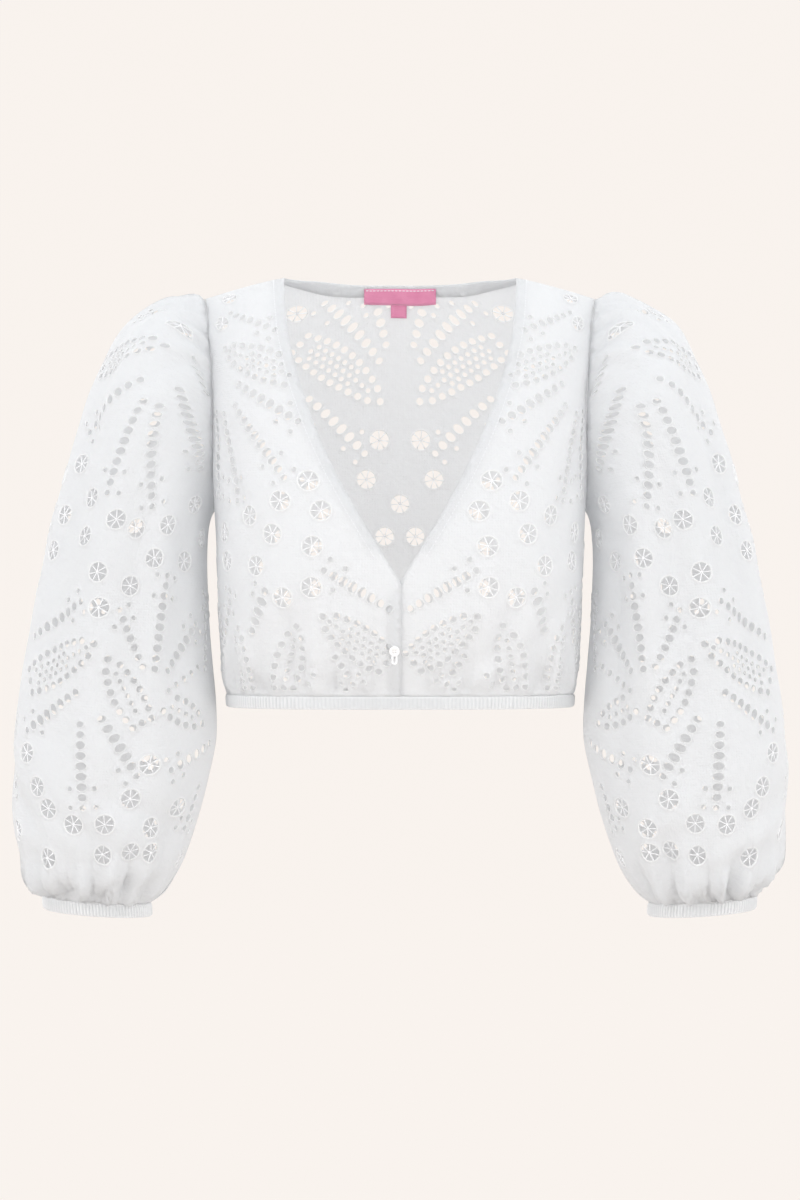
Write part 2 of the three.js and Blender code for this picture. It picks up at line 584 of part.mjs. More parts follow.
function leafEyelets(leaf, sign) {
  const { length, eyelet } = onBranch(leaf, sign);
  const halfWidth = (share) => leaf.widest * Math.sin(Math.PI * (0.05 + 0.72 * share)) ** 0.8;
  const steps = Math.floor(length / LEAF_RIM.pitch);
  const eyelets = [eyelet(0, 0, LEAF_RIM.radius, LEAF_RIM.radius)];
  for (let i = 1; i <= steps; i += 1) {
    for (const way of [-1, 1]) {
      eyelets.push(eyelet(i / steps, way * halfWidth(i / steps), LEAF_RIM.radius, LEAF_RIM.radius));
    }
  }
  for (let off = 0; off < halfWidth(1); off += LEAF_RIM.pitch) {
    eyelets.push(eyelet(1, off, LEAF_RIM.radius, LEAF_RIM.radius), eyelet(1, -off, LEAF_RIM.radius, LEAF_RIM.radius));
  }
  const rows = Math.ceil(leaf.widest / LEAF_NET.row);
  for (let row = -rows; row <= rows; row += 1) {
    for (let along = row % 2 === 0 ? 0 : LEAF_NET.pitch / 2; along < length; along += LEAF_NET.pitch) {
      const share = along / length;
      if (Math.abs(row * LEAF_NET.row) < halfWidth(share) - LEAF_NET.inside) {
        eyelets.push(eyelet(share, row * LEAF_NET.row, LEAF_NET.radius, LEAF_NET.radius));
      }
    }
  }
  return eyelets;
}

const meanRadius = (eyelet) => Math.sqrt(eyelet.half * eyelet.length);

function distanceToLoop(x, y, loop) {
  let nearest = Infinity;
  for (let i = 0; i < loop.length; i += 1) {
    const [ax, ay] = loop[i];
    const [bx, by] = loop[(i + 1) % loop.length];
    const runX = bx - ax;
    const runY = by - ay;
    const u = clamp01(((x - ax) * runX + (y - ay) * runY) / (runX ** 2 + runY ** 2 || 1));
    nearest = Math.min(nearest, Math.hypot(x - ax - u * runX, y - ay - u * runY));
  }
  return nearest;
}

function isInside(x, y, loop) {
  let inside = false;
  for (let i = 0; i < loop.length; i += 1) {
    const [ax, ay] = loop[i];
    const [bx, by] = loop[(i + 1) % loop.length];
    if ((ay > y) !== (by > y) && x < ax + (bx - ax) * (y - ay) / (by - ay)) {
      inside = !inside;
    }
  }
  return inside;
}

// The space that two ovals need between their centres, along the line that joins them
function reachTowards(eyelet, dx, dy) {
  const angle = Math.atan2(dy, dx) - eyelet.turn;
  return 1 / Math.hypot(Math.cos(angle) / eyelet.half, Math.sin(angle) / eyelet.length);
}

function placeEyelets(chart, signs, outline) {
  const ordered = [
    ...signs.flatMap((sign) => chart.wheels.map(([x, y]) => ({
      x: x * sign, y, half: WHEEL_RADIUS, length: WHEEL_RADIUS, turn: 0, wheel: true,
    }))),
    ...signs.flatMap((sign) => chart.rays.flatMap((ray) => rayEyelets(ray, sign))),
    ...signs.flatMap((sign) => chart.leaves.flatMap((leaf) => leafEyelets(leaf, sign))),
  ];
  const placed = [];
  for (const eyelet of ordered) {
    const reach = Math.max(eyelet.half, eyelet.length);
    const clear = placed.every((other) => {
      const dx = eyelet.x - other.x;
      const dy = eyelet.y - other.y;
      const need = reachTowards(eyelet, dx, dy) + reachTowards(other, dx, dy) + BAR;
      return dx ** 2 + dy ** 2 >= need ** 2;
    });
    const inside = isInside(eyelet.x, eyelet.y, outline)
      && distanceToLoop(eyelet.x, eyelet.y, outline) > reach + EDGE_MARGIN;
    if (clear && inside) {
      placed.push(eyelet);
    }
  }
  return placed;
}

function eyeletLoop(eyelet) {
  const sides = eyelet.wheel ? WHEEL_SIDES : EYELET_SIDES;
  const loop = [];
  for (let i = 0; i < sides; i += 1) {
    const angle = 2 * Math.PI * i / sides;
    const u = eyelet.half * Math.cos(angle);
    const v = eyelet.length * Math.sin(angle);
    loop.push([
      eyelet.x + u * Math.cos(eyelet.turn) - v * Math.sin(eyelet.turn),
      eyelet.y + u * Math.sin(eyelet.turn) + v * Math.cos(eyelet.turn),
    ]);
  }
  return loop;
}

// Plain mesh points in staggered rows, clear of the edge and of every eyelet
function plainPoints(outline, loops, extra) {
  const xs = outline.map(([x]) => x);
  const ys = outline.map(([, y]) => y);
  const points = [];
  const clearOf = (x, y, loop, distance) => distanceToLoop(x, y, loop) > distance && !isInside(x, y, loop);
  const tryPoint = (x, y, apart) => {
    const fits = isInside(x, y, outline)
      && distanceToLoop(x, y, outline) > apart * 0.45
      && loops.every((loop) => clearOf(x, y, loop, Math.min(CLEAR_OF_HOLE, apart * 0.4)))
      && points.every(([px, py]) => Math.hypot(px - x, py - y) > apart * 0.7);
    if (fits) {
      points.push([x, y]);
    }
  };
  extra.forEach(([x, y, apart]) => tryPoint(x, y, apart));
  let row = 0;
  for (let y = Math.min(...ys); y < Math.max(...ys); y += POINT_SPACING * 0.87) {
    row += 1;
    for (let x = Math.min(...xs) + (row % 2) * POINT_SPACING / 2; x < Math.max(...xs); x += POINT_SPACING) {
      tryPoint(x + 0.31, y + 0.17, POINT_SPACING);
    }
  }
  return points;
}

// Triangles of an outline with holes and inner points, made as regular as the edges allow
const turnOf = (a, b, c) => (b[0] - a[0]) * (c[1] - a[1]) - (b[1] - a[1]) * (c[0] - a[0]);

function inCircle(a, b, c, d) {
  const rows = [a, b, c].map((p) => [p[0] - d[0], p[1] - d[1], (p[0] - d[0]) ** 2 + (p[1] - d[1]) ** 2]);
  const [r, s, t] = rows;
  return r[0] * (s[1] * t[2] - s[2] * t[1]) - r[1] * (s[0] * t[2] - s[2] * t[0]) + r[2] * (s[0] * t[1] - s[1] * t[0]);
}

function improve(triangles, points, fixed) {
  const edgeKey = (a, b) => (a < b ? a * 100000 + b : b * 100000 + a);
  for (let pass = 0; pass < 200; pass += 1) {
    const owners = new Map();
    triangles.forEach((triangle, index) => {
      for (let k = 0; k < 3; k += 1) {
        const key = edgeKey(triangle[k], triangle[(k + 1) % 3]);
        owners.set(key, [...(owners.get(key) ?? []), index]);
      }
    });
    const touched = new Set();
    for (const [key, pair] of owners) {
      if (pair.length < 2 || fixed.has(key) || touched.has(pair[0]) || touched.has(pair[1])) {
        continue;
      }
      const low = Math.floor(key / 100000);
      const high = key % 100000;
      const first = triangles[pair[0]];
      const second = triangles[pair[1]];
      const c = first.find((p) => p !== low && p !== high);
      const d = second.find((p) => p !== low && p !== high);
      const start = first.indexOf(c);
      const a = first[(start + 1) % 3];
      const b = first[(start + 2) % 3];
      const [A, B, C, D] = [a, b, c, d].map((p) => points[p]);
      if (turnOf(C, A, D) > 1e-7 && turnOf(D, B, C) > 1e-7 && inCircle(A, B, C, D) > 1e-7) {
        triangles[pair[0]] = [c, a, d];
        triangles[pair[1]] = [d, b, c];
        touched.add(pair[0]);
        touched.add(pair[1]);
      }
    }
    if (touched.size === 0) {
      return;
    }
  }
}

function triangulate(outline, loops, inner) {
  const asVectors = (loop) => loop.map(([x, y]) => new THREE.Vector2(x, y));
  const oriented = THREE.ShapeUtils.isClockWise(asVectors(outline)) ? [...outline].reverse() : outline;
  const points = [oriented, ...loops].flat();
  const faces = THREE.ShapeUtils.triangulateShape(asVectors(oriented), loops.map(asVectors));
  const triangles = faces.map(([a, b, c]) => (turnOf(points[a], points[b], points[c]) > 0 ? [a, b, c] : [a, c, b]));
  const fixed = new Set();
  let start = 0;
  for (const loop of [oriented, ...loops]) {
    for (let i = 0; i < loop.length; i += 1) {
      const a = start + i;
      const b = start + (i + 1) % loop.length;
      fixed.add(Math.min(a, b) * 100000 + Math.max(a, b));
    }
    start += loop.length;
  }
  improve(triangles, points, fixed);
  for (const point of inner) {
    const index = triangles.findIndex(([a, b, c]) => turnOf(points[a], points[b], point) > 0
      && turnOf(points[b], points[c], point) > 0 && turnOf(points[c], points[a], point) > 0);
    if (index < 0) {
      continue;
    }
    const [a, b, c] = triangles[index];
    const added = points.push(point) - 1;
    triangles[index] = [a, b, added];
    triangles.push([b, c, added], [c, a, added]);
  }
  improve(triangles, points, fixed);
  return { points, triangles };
}

// A wall of cloth: the flat triangles laid on a surface twice, and closed along every edge
function wall({ points, triangles }, place, top, thickness, flip) {
  const outer = points.map(([x, y]) => place(x, y, top));
  const inner = points.map(([x, y]) => place(x, y, top - thickness));
  const count = points.length;
  const faces = [];
  const open = new Map();
  for (const [a, b, c] of triangles) {
    const face = flip ? [a, c, b] : [a, b, c];
    faces.push(face, [face[0] + count, face[2] + count, face[1] + count]);
    for (let k = 0; k < 3; k += 1) {
      const from = face[k];
      const to = face[(k + 1) % 3];
      if (!open.delete(`${to}-${from}`)) {
        open.set(`${from}-${to}`, [from, to]);
      }
    }
  }
  for (const [from, to] of open.values()) {
    faces.push([to, from, from + count], [to, from + count, to + count]);
  }
  const geometry = new THREE.BufferGeometry();
  const positions = [...outer, ...inner].flatMap((p) => [p.x, p.y, p.z]);
  geometry.setAttribute('position', new THREE.Float32BufferAttribute(positions, 3));
  geometry.setIndex(faces.flat());
  return geometry;
}

// A closed ring of a small section, whose points depend on the angle's step
function ringSolid(count, sectionAt, flip) {
  const positions = [];
  const faces = [];
  let size = 0;
  for (let i = 0; i < count; i += 1) {
    const section = sectionAt(i);
    size = section.length;
    section.forEach((p) => positions.push(p.x, p.y, p.z));
    for (let k = 0; k < size; k += 1) {
      const a = i * size + k;
      const b = i * size + (k + 1) % size;
      const c = ((i + 1) % count) * size + k;
      const d = ((i + 1) % count) * size + (k + 1) % size;
      faces.push(...(flip ? [[a, c, b], [b, c, d]] : [[a, b, c], [b, d, c]]));
    }
  }
  const geometry = new THREE.BufferGeometry();
  geometry.setAttribute('position', new THREE.Float32BufferAttribute(positions, 3));
  geometry.setIndex(faces.flat());
  return geometry;
}

function named(name, geometry, look) {
  geometry.computeVertexNormals();
  const mesh = new THREE.Mesh(geometry, new THREE.MeshStandardMaterial(look));
  mesh.name = name;
  return mesh;
}

function cutLoops(eyelets, most) {
  const largestFirst = [...eyelets].sort((a, b) => meanRadius(b) - meanRadius(a));
  return largestFirst.slice(0, most).map(eyeletLoop);
}

// Mesh points on the crests and in the troughs of the gathers
function gatherPoints(fromAcross, toAcross, step, rows) {
  const points = [];
  for (const row of rows) {
    for (let x = fromAcross; x <= toAcross; x += step) {
      points.push([x, row, step]);
    }
  }
  return points;
}

// Body pieces
const HEM_ROWS = [HEM_CLOTH - 14, HEM_CLOTH - 32];
const UNDERLAP_RAMP = [2, 11];  // the under layer comes forward to the surface between these
const underlapInset = (across) => UNDERLAP_DEPTH * (1 - smooth((across - UNDERLAP_RAMP[0]) / (UNDERLAP_RAMP[1] - UNDERLAP_RAMP[0])));
const mirrored = (loop) => loop.map(([x, y]) => [-x, y]).reverse();

function rightFrontOutline() {  // the upper layer, on the -X side; its edge lies just past the centre
  const edge = [[0, V_CLOTH], [-1, V_CLOTH + 2], ...line([-1, V_CLOTH + 24], [-1, BOTTOM], 24)];
  const half = halfFrontOutline([]);
  return mirrored([...edge.slice(1), [-1, BOTTOM], ...half.slice(1), [0, V_CLOTH - 0.5]]);
}

function leftFrontOutline() {  // the under layer, on the +X side; it runs under the other front
  const lowNeck = V_CLOTH + OVERLAP * 1.35;
  const edge = [...line([-OVERLAP, lowNeck], [-OVERLAP, BOTTOM], 24), ...line([-OVERLAP, BOTTOM], [0, BOTTOM], 12)];
  return [...edge, ...halfFrontOutline([])];
}

function frontMesh(name, outline, sign, inset) {
  const loops = cutLoops(placeEyelets(FRONT_CHART, [sign], outline), MOST_CUTS.front);
  const rows = [
    ...frontFacingFar.map(([x, y]) => [x * sign, y, 1]),
    ...(sign > 0 ? UNDERLAP_RAMP.flatMap((x) => line([x, V_CLOTH + 2], [x, BOTTOM], 20).map(([, y]) => [x, y, 8])) : []),
    ...gatherPoints(sign > 0 ? 0 : -SIDE, sign > 0 ? SIDE : 0, GATHER_STEP, HEM_ROWS),
  ];
  const flat = triangulate(outline, loops, plainPoints(outline, loops, rows));
  return named(name, wall(flat, onBody('front', inset), 0, WALL, true), COTTON);
}

function backMesh() {
  const outline = backOutline();
  const loops = cutLoops(placeEyelets(BACK_CHART, [1, -1], outline), MOST_CUTS.back);
  const rows = [
    ...backFacingFar.flatMap(([x, y]) => [[x, y, 1], [-x, y, 1]]),
    ...[-30, 0, 30].flatMap((x) => [[x, BACK_NECK_CLOTH + FACING_WIDTH, 10], [x, BACK_NECK_CLOTH + 30, 10]]),
    ...gatherPoints(-SIDE, SIDE, GATHER_STEP, HEM_ROWS),
  ];
  const flat = triangulate(outline, loops, plainPoints(outline, loops, rows));
  return named('back', wall(flat, onBody('back'), 0, WALL, false), COTTON);
}

function sleeveMesh(name, side, sign) {
  const outline = halfSleeveOutline(sign);
  const loops = cutLoops(placeEyelets(SLEEVE_CHART, [sign], outline), MOST_CUTS.sleeve);
  const inner = UNDERARM * sign;
  const step = UNDERARM / (2 * CUFF_GATHERS.waves);
  const cuffRows = gatherPoints(Math.min(0, inner), Math.max(0, inner), step, [16, 36, 64]);
  const capStep = CAP_GATHERS.width / (2 * CAP_GATHERS.waves);
  const capRow = [];
  for (let x = 0; x <= CAP_GATHERS.width; x += capStep) {
    capRow.push([x * sign, capHeight(x * sign) - CAP_GATHERS.reach, capStep]);
  }
  const flat = triangulate(outline, loops, plainPoints(outline, loops, [...cuffRows, ...capRow]));
  return named(name, wall(flat, onSleeve(side), 0, WALL, side === 'left'), COTTON);
}

// Bands: an elastic in its casing, ribbed all round
function hemBand() {
  const steps = 2 * HEM_RIBS;
  const top = HEM_CLOTH + HALF_GAP;
  const sectionAt = (i) => {
    const around = 4 * SIDE * i / steps;  // from the centre front, towards +X
    const face = around < SIDE || around > 3 * SIDE ? 'front' : 'back';
    const across = face === 'back' ? 2 * SIDE - around : around - (around > 3 * SIDE ? 4 * SIDE : 0);
    const rib = i % 2 === 0 ? RIB_HEIGHT : 0;
    const at = (share, lift) => lifted(
      (u, v) => bodyForm(face, u, v), across, top + share * HEM_BAND_HEIGHT, lift, face === 'front' ? -1 : 1,
    );
    return [at(0, rib), at(1, rib), at(1, -BAND_THICKNESS), at(0, -BAND_THICKNESS)];
  };
  return named('hem_band', ringSolid(steps, sectionAt, false), ELASTIC);
}

function cuffBand(side) {
  const steps = 2 * CUFF_RIBS;
  const mirror = side === 'right' ? -1 : 1;
  const centre = plainRingPoint(Math.PI / 2, LAST_RING).add(plainRingPoint(-Math.PI / 2, LAST_RING)).multiplyScalar(0.5);
  const sectionAt = (i) => {
    const seam = plainRingPoint(2 * Math.PI * i / steps, LAST_RING);
    const outward = seam.clone().sub(centre).normalize();
    const rib = i % 2 === 0 ? RIB_HEIGHT : 0;
    const at = (share, lift) => {
      const down = HALF_GAP + share * CUFF_HEIGHT;
      const point = seam.clone().addScaledVector(outward, lift);
      return point.set((point.x + CUFF_TILT.x * down) * mirror, point.y, point.z + CUFF_TILT.z * down);
    };
    return [at(0, rib), at(1, rib), at(1, -BAND_THICKNESS), at(0, -BAND_THICKNESS)];
  };
  return named(`cuff_band_${side}`, ringSolid(steps, sectionAt, side === 'left'), ELASTIC);
}

// Facings: narrow strips inside the neck edge, laid over the same points as the cloth beside it
const FACING_TOP = -(WALL + 0.4);
const FACING_LIFT = 0.5;        // the strip's edge stays this far under the neck's
const frontFacingFar = NECK_DOWNS.map((down) => [necklineAcross(down) + FACING_WIDTH, down + 2]);
const backFacingFar = [1, ...BACK_NECK_ACROSS.map((x) => x / NECK_ACROSS)].slice(1).map((share) => [
  share * (NECK_ACROSS + FACING_WIDTH),
  Math.max(2, backNeckDown(share * NECK_ACROSS) + FACING_WIDTH * Math.sqrt(1 - share ** 4)),
]);

function frontFacing(name, sign, inset) {
  const edge = NECK_DOWNS.map((down) => [necklineAcross(down) + FACING_LIFT, Math.max(down, 1)]);
  const outline = [...edge, ...[...frontFacingFar].reverse()];
  const flat = triangulate(sign > 0 ? outline : mirrored(outline), [], []);
  return named(name, wall(flat, onBody('front', inset), FACING_TOP, FACING_THICKNESS, true), COTTON);
}

function backFacing() {
  const edge = BACK_NECK_ACROSS.map((x) => [x, Math.max(1, backNeckDown(x) + FACING_LIFT)]);
  const right = [...edge, [0, BACK_NECK_CLOTH + FACING_LIFT]];
  const left = edge.map(([x, y]) => [-x, y]).reverse();
  const far = [...backFacingFar.map(([x, y]) => [-x, y]), [0, BACK_NECK_CLOTH + FACING_WIDTH], ...[...backFacingFar].reverse()];
  const flat = triangulate([...right, ...left, ...far], [], []);
  return named('neck_facing_back', wall(flat, onBody('back'), FACING_TOP, FACING_THICKNESS, false), COTTON);
}

// The woven label and its small tab, inside the back neck
const LABEL = { width: 56, height: 14, thickness: 0.7, drop: 1.5 };
const TAB = { width: 12.4, height: 10.5, thickness: 0.5, across: -1 };
const LABEL_TOP = FACING_TOP - FACING_THICKNESS - 0.9;

function stripOnBack(name, width, from, to, centre, top, thickness) {
  const half = width / 2;
  const outline = [
    ...line([centre - half, from], [centre + half, from], 7),
    ...line([centre + half, from], [centre + half, to], 7),
    ...line([centre + half, to], [centre - half, to], 7),
    ...line([centre - half, to], [centre - half, from], 7),
  ].map(([x, below]) => [x, backNeckDown(x) + below]);  // it follows the neck's edge
  const flat = triangulate(outline, [], []);
  return named(name, wall(flat, onBody('back'), top, thickness, false), WOVEN_PINK);
}

function labelMeshes() {
  const to = LABEL.drop + LABEL.height;
  return [
    stripOnBack('woven_label', LABEL.width, LABEL.drop, to, 0, LABEL_TOP, LABEL.thickness),
    stripOnBack('size_tab', TAB.width, to + SEAM_GAP, to + TAB.height, TAB.across, LABEL_TOP, TAB.thickness),
  ];
}

// The one pearl button at the centre front
const BUTTON = { radius: 4.2, thickness: 1.6, edge: 0.5, across: -4.5, down: 353, hole: 0.6, holeAt: 1.1 };

function buttonMesh() {
  const face = new THREE.Shape();
  face.absarc(0, 0, BUTTON.radius - BUTTON.edge, 0, 2 * Math.PI);
  for (const [x, y] of [[1, 1], [-1, 1], [-1, -1], [1, -1]]) {
    const hole = new THREE.Path();
    hole.absarc(x * BUTTON.holeAt, y * BUTTON.holeAt, BUTTON.hole, 0, 2 * Math.PI, true);
    face.holes.push(hole);
  }
  const geometry = new THREE.ExtrudeGeometry(face, {
    depth: BUTTON.thickness - 2 * BUTTON.edge,
    curveSegments: 4,
    bevelThickness: BUTTON.edge,
    bevelSize: BUTTON.edge * 0.8,
    bevelSegments: 1,
  });
  const mesh = named('button', geometry, PEARL);
  const place = onBody('front');
  const seat = place(BUTTON.across, BUTTON.down, 0);
  const outward = place(BUTTON.across, BUTTON.down, 1).sub(seat).normalize();
  mesh.quaternion.setFromUnitVectors(new THREE.Vector3(0, 0, 1), outward);
  mesh.position.copy(seat).addScaledVector(outward, SEAM_GAP + BUTTON.edge + 0.1);
  return mesh;
}

const blouse = new THREE.Group();
blouse.add(
  frontMesh('front_right', rightFrontOutline(), -1, 0),
  frontMesh('front_left', leftFrontOutline(), 1, underlapInset),
  backMesh(),
  sleeveMesh('sleeve_right_front', 'right', 1),
  sleeveMesh('sleeve_right_back', 'right', -1),
  sleeveMesh('sleeve_left_front', 'left', 1),
  sleeveMesh('sleeve_left_back', 'left', -1),
  hemBand(),
  cuffBand('right'),
  cuffBand('left'),
  frontFacing('neck_facing_right', -1, 0),
  frontFacing('neck_facing_left', 1, underlapInset),
  backFacing(),
  ...labelMeshes(),
  buttonMesh(),
);
export default blouse;
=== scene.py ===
# %% [markdown]
# Cropped dirndl blouse in white cutwork cotton
#
# The blouse stands in its worn shape with nobody in it. Two fronts meet in a deep V, the right one
# lies over the left one, and the back, two full sleeves, an elastic hem and two elastic cuffs
# finish it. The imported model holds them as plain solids. This script puts dressed pieces in their
# place: real cloth with every eyelet cut and stitched round, spoked wheels of thread, gathered
# bands, a bare woven label and a pearl button.

import bpy
import numpy as np
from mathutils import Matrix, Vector
from mathutils.geometry import delaunay_2d_cdt


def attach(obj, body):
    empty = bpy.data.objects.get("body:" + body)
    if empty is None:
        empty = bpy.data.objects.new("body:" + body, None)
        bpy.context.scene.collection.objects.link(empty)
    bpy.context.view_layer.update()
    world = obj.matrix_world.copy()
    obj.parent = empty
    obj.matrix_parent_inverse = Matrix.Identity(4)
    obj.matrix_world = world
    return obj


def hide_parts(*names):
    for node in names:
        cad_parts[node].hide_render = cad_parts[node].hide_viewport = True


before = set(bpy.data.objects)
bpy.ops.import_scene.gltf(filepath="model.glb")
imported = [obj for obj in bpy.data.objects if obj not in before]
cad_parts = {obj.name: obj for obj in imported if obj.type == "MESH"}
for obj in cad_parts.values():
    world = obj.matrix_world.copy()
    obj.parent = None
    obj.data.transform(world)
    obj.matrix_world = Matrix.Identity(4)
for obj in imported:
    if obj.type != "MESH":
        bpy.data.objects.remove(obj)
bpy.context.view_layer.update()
MM = 0.001

# %% [markdown]
# A garment is cut flat and worn round. So every cloth piece here has two descriptions: a flat
# pattern in millimetres of cloth, where the lace is charted, and a form in space, onto which the
# flat pattern is laid. Both repeat the named sizes of the model's source, so that cloth and solid
# agree, seam for seam.

# %% Sizes of the cut, in millimetres of cloth
NECK_HALF_WIDTH = 95
V_CLOTH = 297
BACK_NECK_CLOTH = 58
HEM_CLOTH = 396
HEM_BAND_HEIGHT = 10.5
UNDERARM_CLOTH = 237
OVERLAP = 11
UNDERLAP_DEPTH = 1.9        # real cloth is thinner than the solids, so the fronts lie closer
BODY_FLAT_RADIUS = 150
SLEEVE_FLAT_RADIUS = 75
CUFF_HEIGHT = 10.5
FACING_WIDTH = 9
SEAM_GAP = 0.3
HALF_GAP = SEAM_GAP / 2
SIDE = BODY_FLAT_RADIUS * np.pi / 2
UNDERARM = SLEEVE_FLAT_RADIUS * np.pi

BODY_RINGS = {
    "cloth": [0, 15, 35, 60, 95, 140, 190, 240, 285, 325, 360, 385, 396, 408],
    "half": [166, 165, 164, 163, 161, 158, 154, 151, 149, 147.5, 145.5, 142.5, 141.5, 141],
    "front": [0.2, 14.5, 32.5, 51, 71, 91, 109, 122, 127, 124, 114, 103, 100, 99.5],
    "back": [0.2, 14.5, 33, 53, 76, 95, 104, 105, 101, 98, 96, 91, 88, 87.5],
    "drop": [0, -2.2, -10, -27, -56, -97, -144, -193, -238, -278, -310, -332, -340.5, -352],
}
SQUARENESS = 2.8
NECK_RISE = 30
SHOULDER_FALL = 17
SHOULDER_LENGTH = 64
SHAPING_CLOTH = 220
SHOULDER_CURVE, BACK_NECK_CURVE = 1.2, 2.2      # powers: more than 1 starts flat and then falls
NECKLINE = {
    "cloth": [0, 35, 60, 95, 140, 190, 240, 285, V_CLOTH],
    "half": [95, 94, 92.5, 88.5, 78, 60, 34.5, 7.5, 0],
}
ARMHOLE = {
    "cloth": [0, 60, 110, 150, 185, 212, 229, UNDERARM_CLOTH],
    "angle": [66, 64, 63, 64.5, 69, 76.5, 83.5, 90],
}
SLEEVE_RINGS = {
    "ring": list(range(15)),
    "outX": [159, 176, 204, 231, 250, 267, 282, 294, 304, 312, 315, 312, 304, 293, 289],
    "outZ": [-18, -15, -23, -46, -87, -140, -195, -250, -305, -360, -412, -452, -480, -497, -504],
    "inX": [151.3, 154.5, 156.8, 157.8, 157.8, 156.6, 155, 152.5, 150, 149.5, 155, 164, 176, 190, 203],
    "inZ": [-190, -196, -206, -222, -241, -264, -291, -319, -347, -376, -405, -440, -474, -498, -510],
    "midY": [0, -1, -3, -6, -9, -12, -14, -16, -18, -20, -21, -22, -22, -22, -22],
    "halfY": [40, 58, 71, 78, 80, 80, 79, 78, 77, 76, 75, 72, 65, 53, 39],
}
LAST_RING = 14
ARMHOLE_BLEND = 1.6
CUFF_TILT = (-0.07, -1.0)

# %% Read a smooth curve through a table, for many places at once
def clamp01(value):
    return np.clip(value, 0.0, 1.0)


def smooth(value):
    return clamp01(value) ** 2 * (3 - 2 * clamp01(value))


def read(table, key, at, column):
    keys = np.array(table[key], float)
    values = np.array(table[column], float)
    before = np.r_[0, np.arange(len(keys) - 1)]
    after = np.r_[np.arange(1, len(keys)), len(keys) - 1]
    slopes = (values[after] - values[before]) / (keys[after] - keys[before])
    at = np.asarray(at, float)
    i = np.clip(np.searchsorted(keys, at, side="left") - 1, 0, len(keys) - 2)
    span = keys[i + 1] - keys[i]
    u = clamp01((at - keys[i]) / span)
    return (
        (2 * u**3 - 3 * u**2 + 1) * values[i]
        + (u**3 - 2 * u**2 + u) * span * slopes[i]
        + (3 * u**2 - 2 * u**3) * values[i + 1]
        + (u**3 - u**2) * span * slopes[i + 1]
    )


# %% [markdown]
# The body is a rounded box, wider than deep. Its outline at each height is a superellipse, which
# is the usual curve between an oval and a box. Going down from the shoulder, a table gives how
# wide and how deep the cloth stands. The shoulder line slopes, so the first rings are lifted at
# the neck and lowered at the tip.

# %% The body's form in space
def square_radius(angle):
    power = np.abs(np.sin(angle)) ** SQUARENESS + np.abs(np.cos(angle)) ** SQUARENESS
    return power ** (-1 / SQUARENESS)


def across_at(half_width, cloth):
    share = np.clip(half_width / read(BODY_RINGS, "cloth", cloth, "half"), 1e-9, 0.9999)
    return BODY_FLAT_RADIUS * np.arctan2(1, (share**-SQUARENESS - 1) ** (1 / SQUARENESS))


def body_form(face, across, down):
    angle = across / BODY_FLAT_RADIUS
    radius = square_radius(angle)
    cloth = np.maximum(0, down)
    x = read(BODY_RINGS, "cloth", cloth, "half") * np.sin(angle) * radius
    depth = read(BODY_RINGS, "cloth", cloth, face) * np.cos(angle) * radius
    beyond = np.abs(x) / NECK_HALF_WIDTH - 1
    climb = NECK_RISE * np.where(beyond < 0, 1 - (x / NECK_HALF_WIDTH) ** 2, 0) ** 2
    fall = SHOULDER_FALL * (np.maximum(0, beyond) * NECK_HALF_WIDTH / SHOULDER_LENGTH) ** SHOULDER_CURVE
    z = read(BODY_RINGS, "cloth", cloth, "drop") + (climb - fall) * (1 - smooth(cloth / SHAPING_CLOTH))
    return np.stack([x, -depth if face == "front" else depth, z], -1)


# %% [markdown]
# The sleeve is a tube of fifteen rings, from the armhole to the cuff. Each ring is an oval that is
# given by its outermost and innermost points. The first ring follows the armhole seam itself, so
# the sleeve grows out of the body with no step.

# %% The armhole seam, and the sleeve's form
def armhole_across(down):
    return BODY_FLAT_RADIUS * np.radians(read(ARMHOLE, "cloth", down, "angle"))


def armhole_line(face, places=241):
    downs = np.linspace(0, UNDERARM_CLOTH, places)
    points = body_form(face, armhole_across(downs), downs)
    steps = np.linalg.norm(np.diff(points, axis=0), axis=1)
    return np.r_[0, np.cumsum(steps)] / steps.sum(), points, downs


ARMHOLE_LINES = {face: armhole_line(face) for face in ("front", "back")}
print("armhole's lowest point in mm:", round(float(ARMHOLE_LINES["front"][1][-1, 2])))


def along_armhole(face, share):
    shares, points, _ = ARMHOLE_LINES[face]
    return np.stack([np.interp(share, shares, points[:, k]) for k in range(3)], -1)


def plain_ring_point(angle, ring):
    part = {c: read(SLEEVE_RINGS, "ring", ring, c) for c in SLEEVE_RINGS if c != "ring"}
    across = (1 + np.cos(angle)) / 2
    return np.stack([
        part["inX"] + (part["outX"] - part["inX"]) * across,
        part["midY"] - part["halfY"] * np.sin(angle),
        part["inZ"] + (part["outZ"] - part["inZ"]) * across,
    ], -1)


def ring_point(angle, ring):
    angle, ring = np.broadcast_arrays(np.asarray(angle, float), np.asarray(ring, float))
    point = plain_ring_point(angle, ring)
    stay = (1 - smooth(ring / ARMHOLE_BLEND))[..., None]
    share = clamp01(np.abs(angle) / np.pi)
    seam = np.where(
        (angle >= 0)[..., None], along_armhole("front", share), along_armhole("back", share)
    )
    return point + (seam - plain_ring_point(angle, np.zeros_like(ring))) * stay


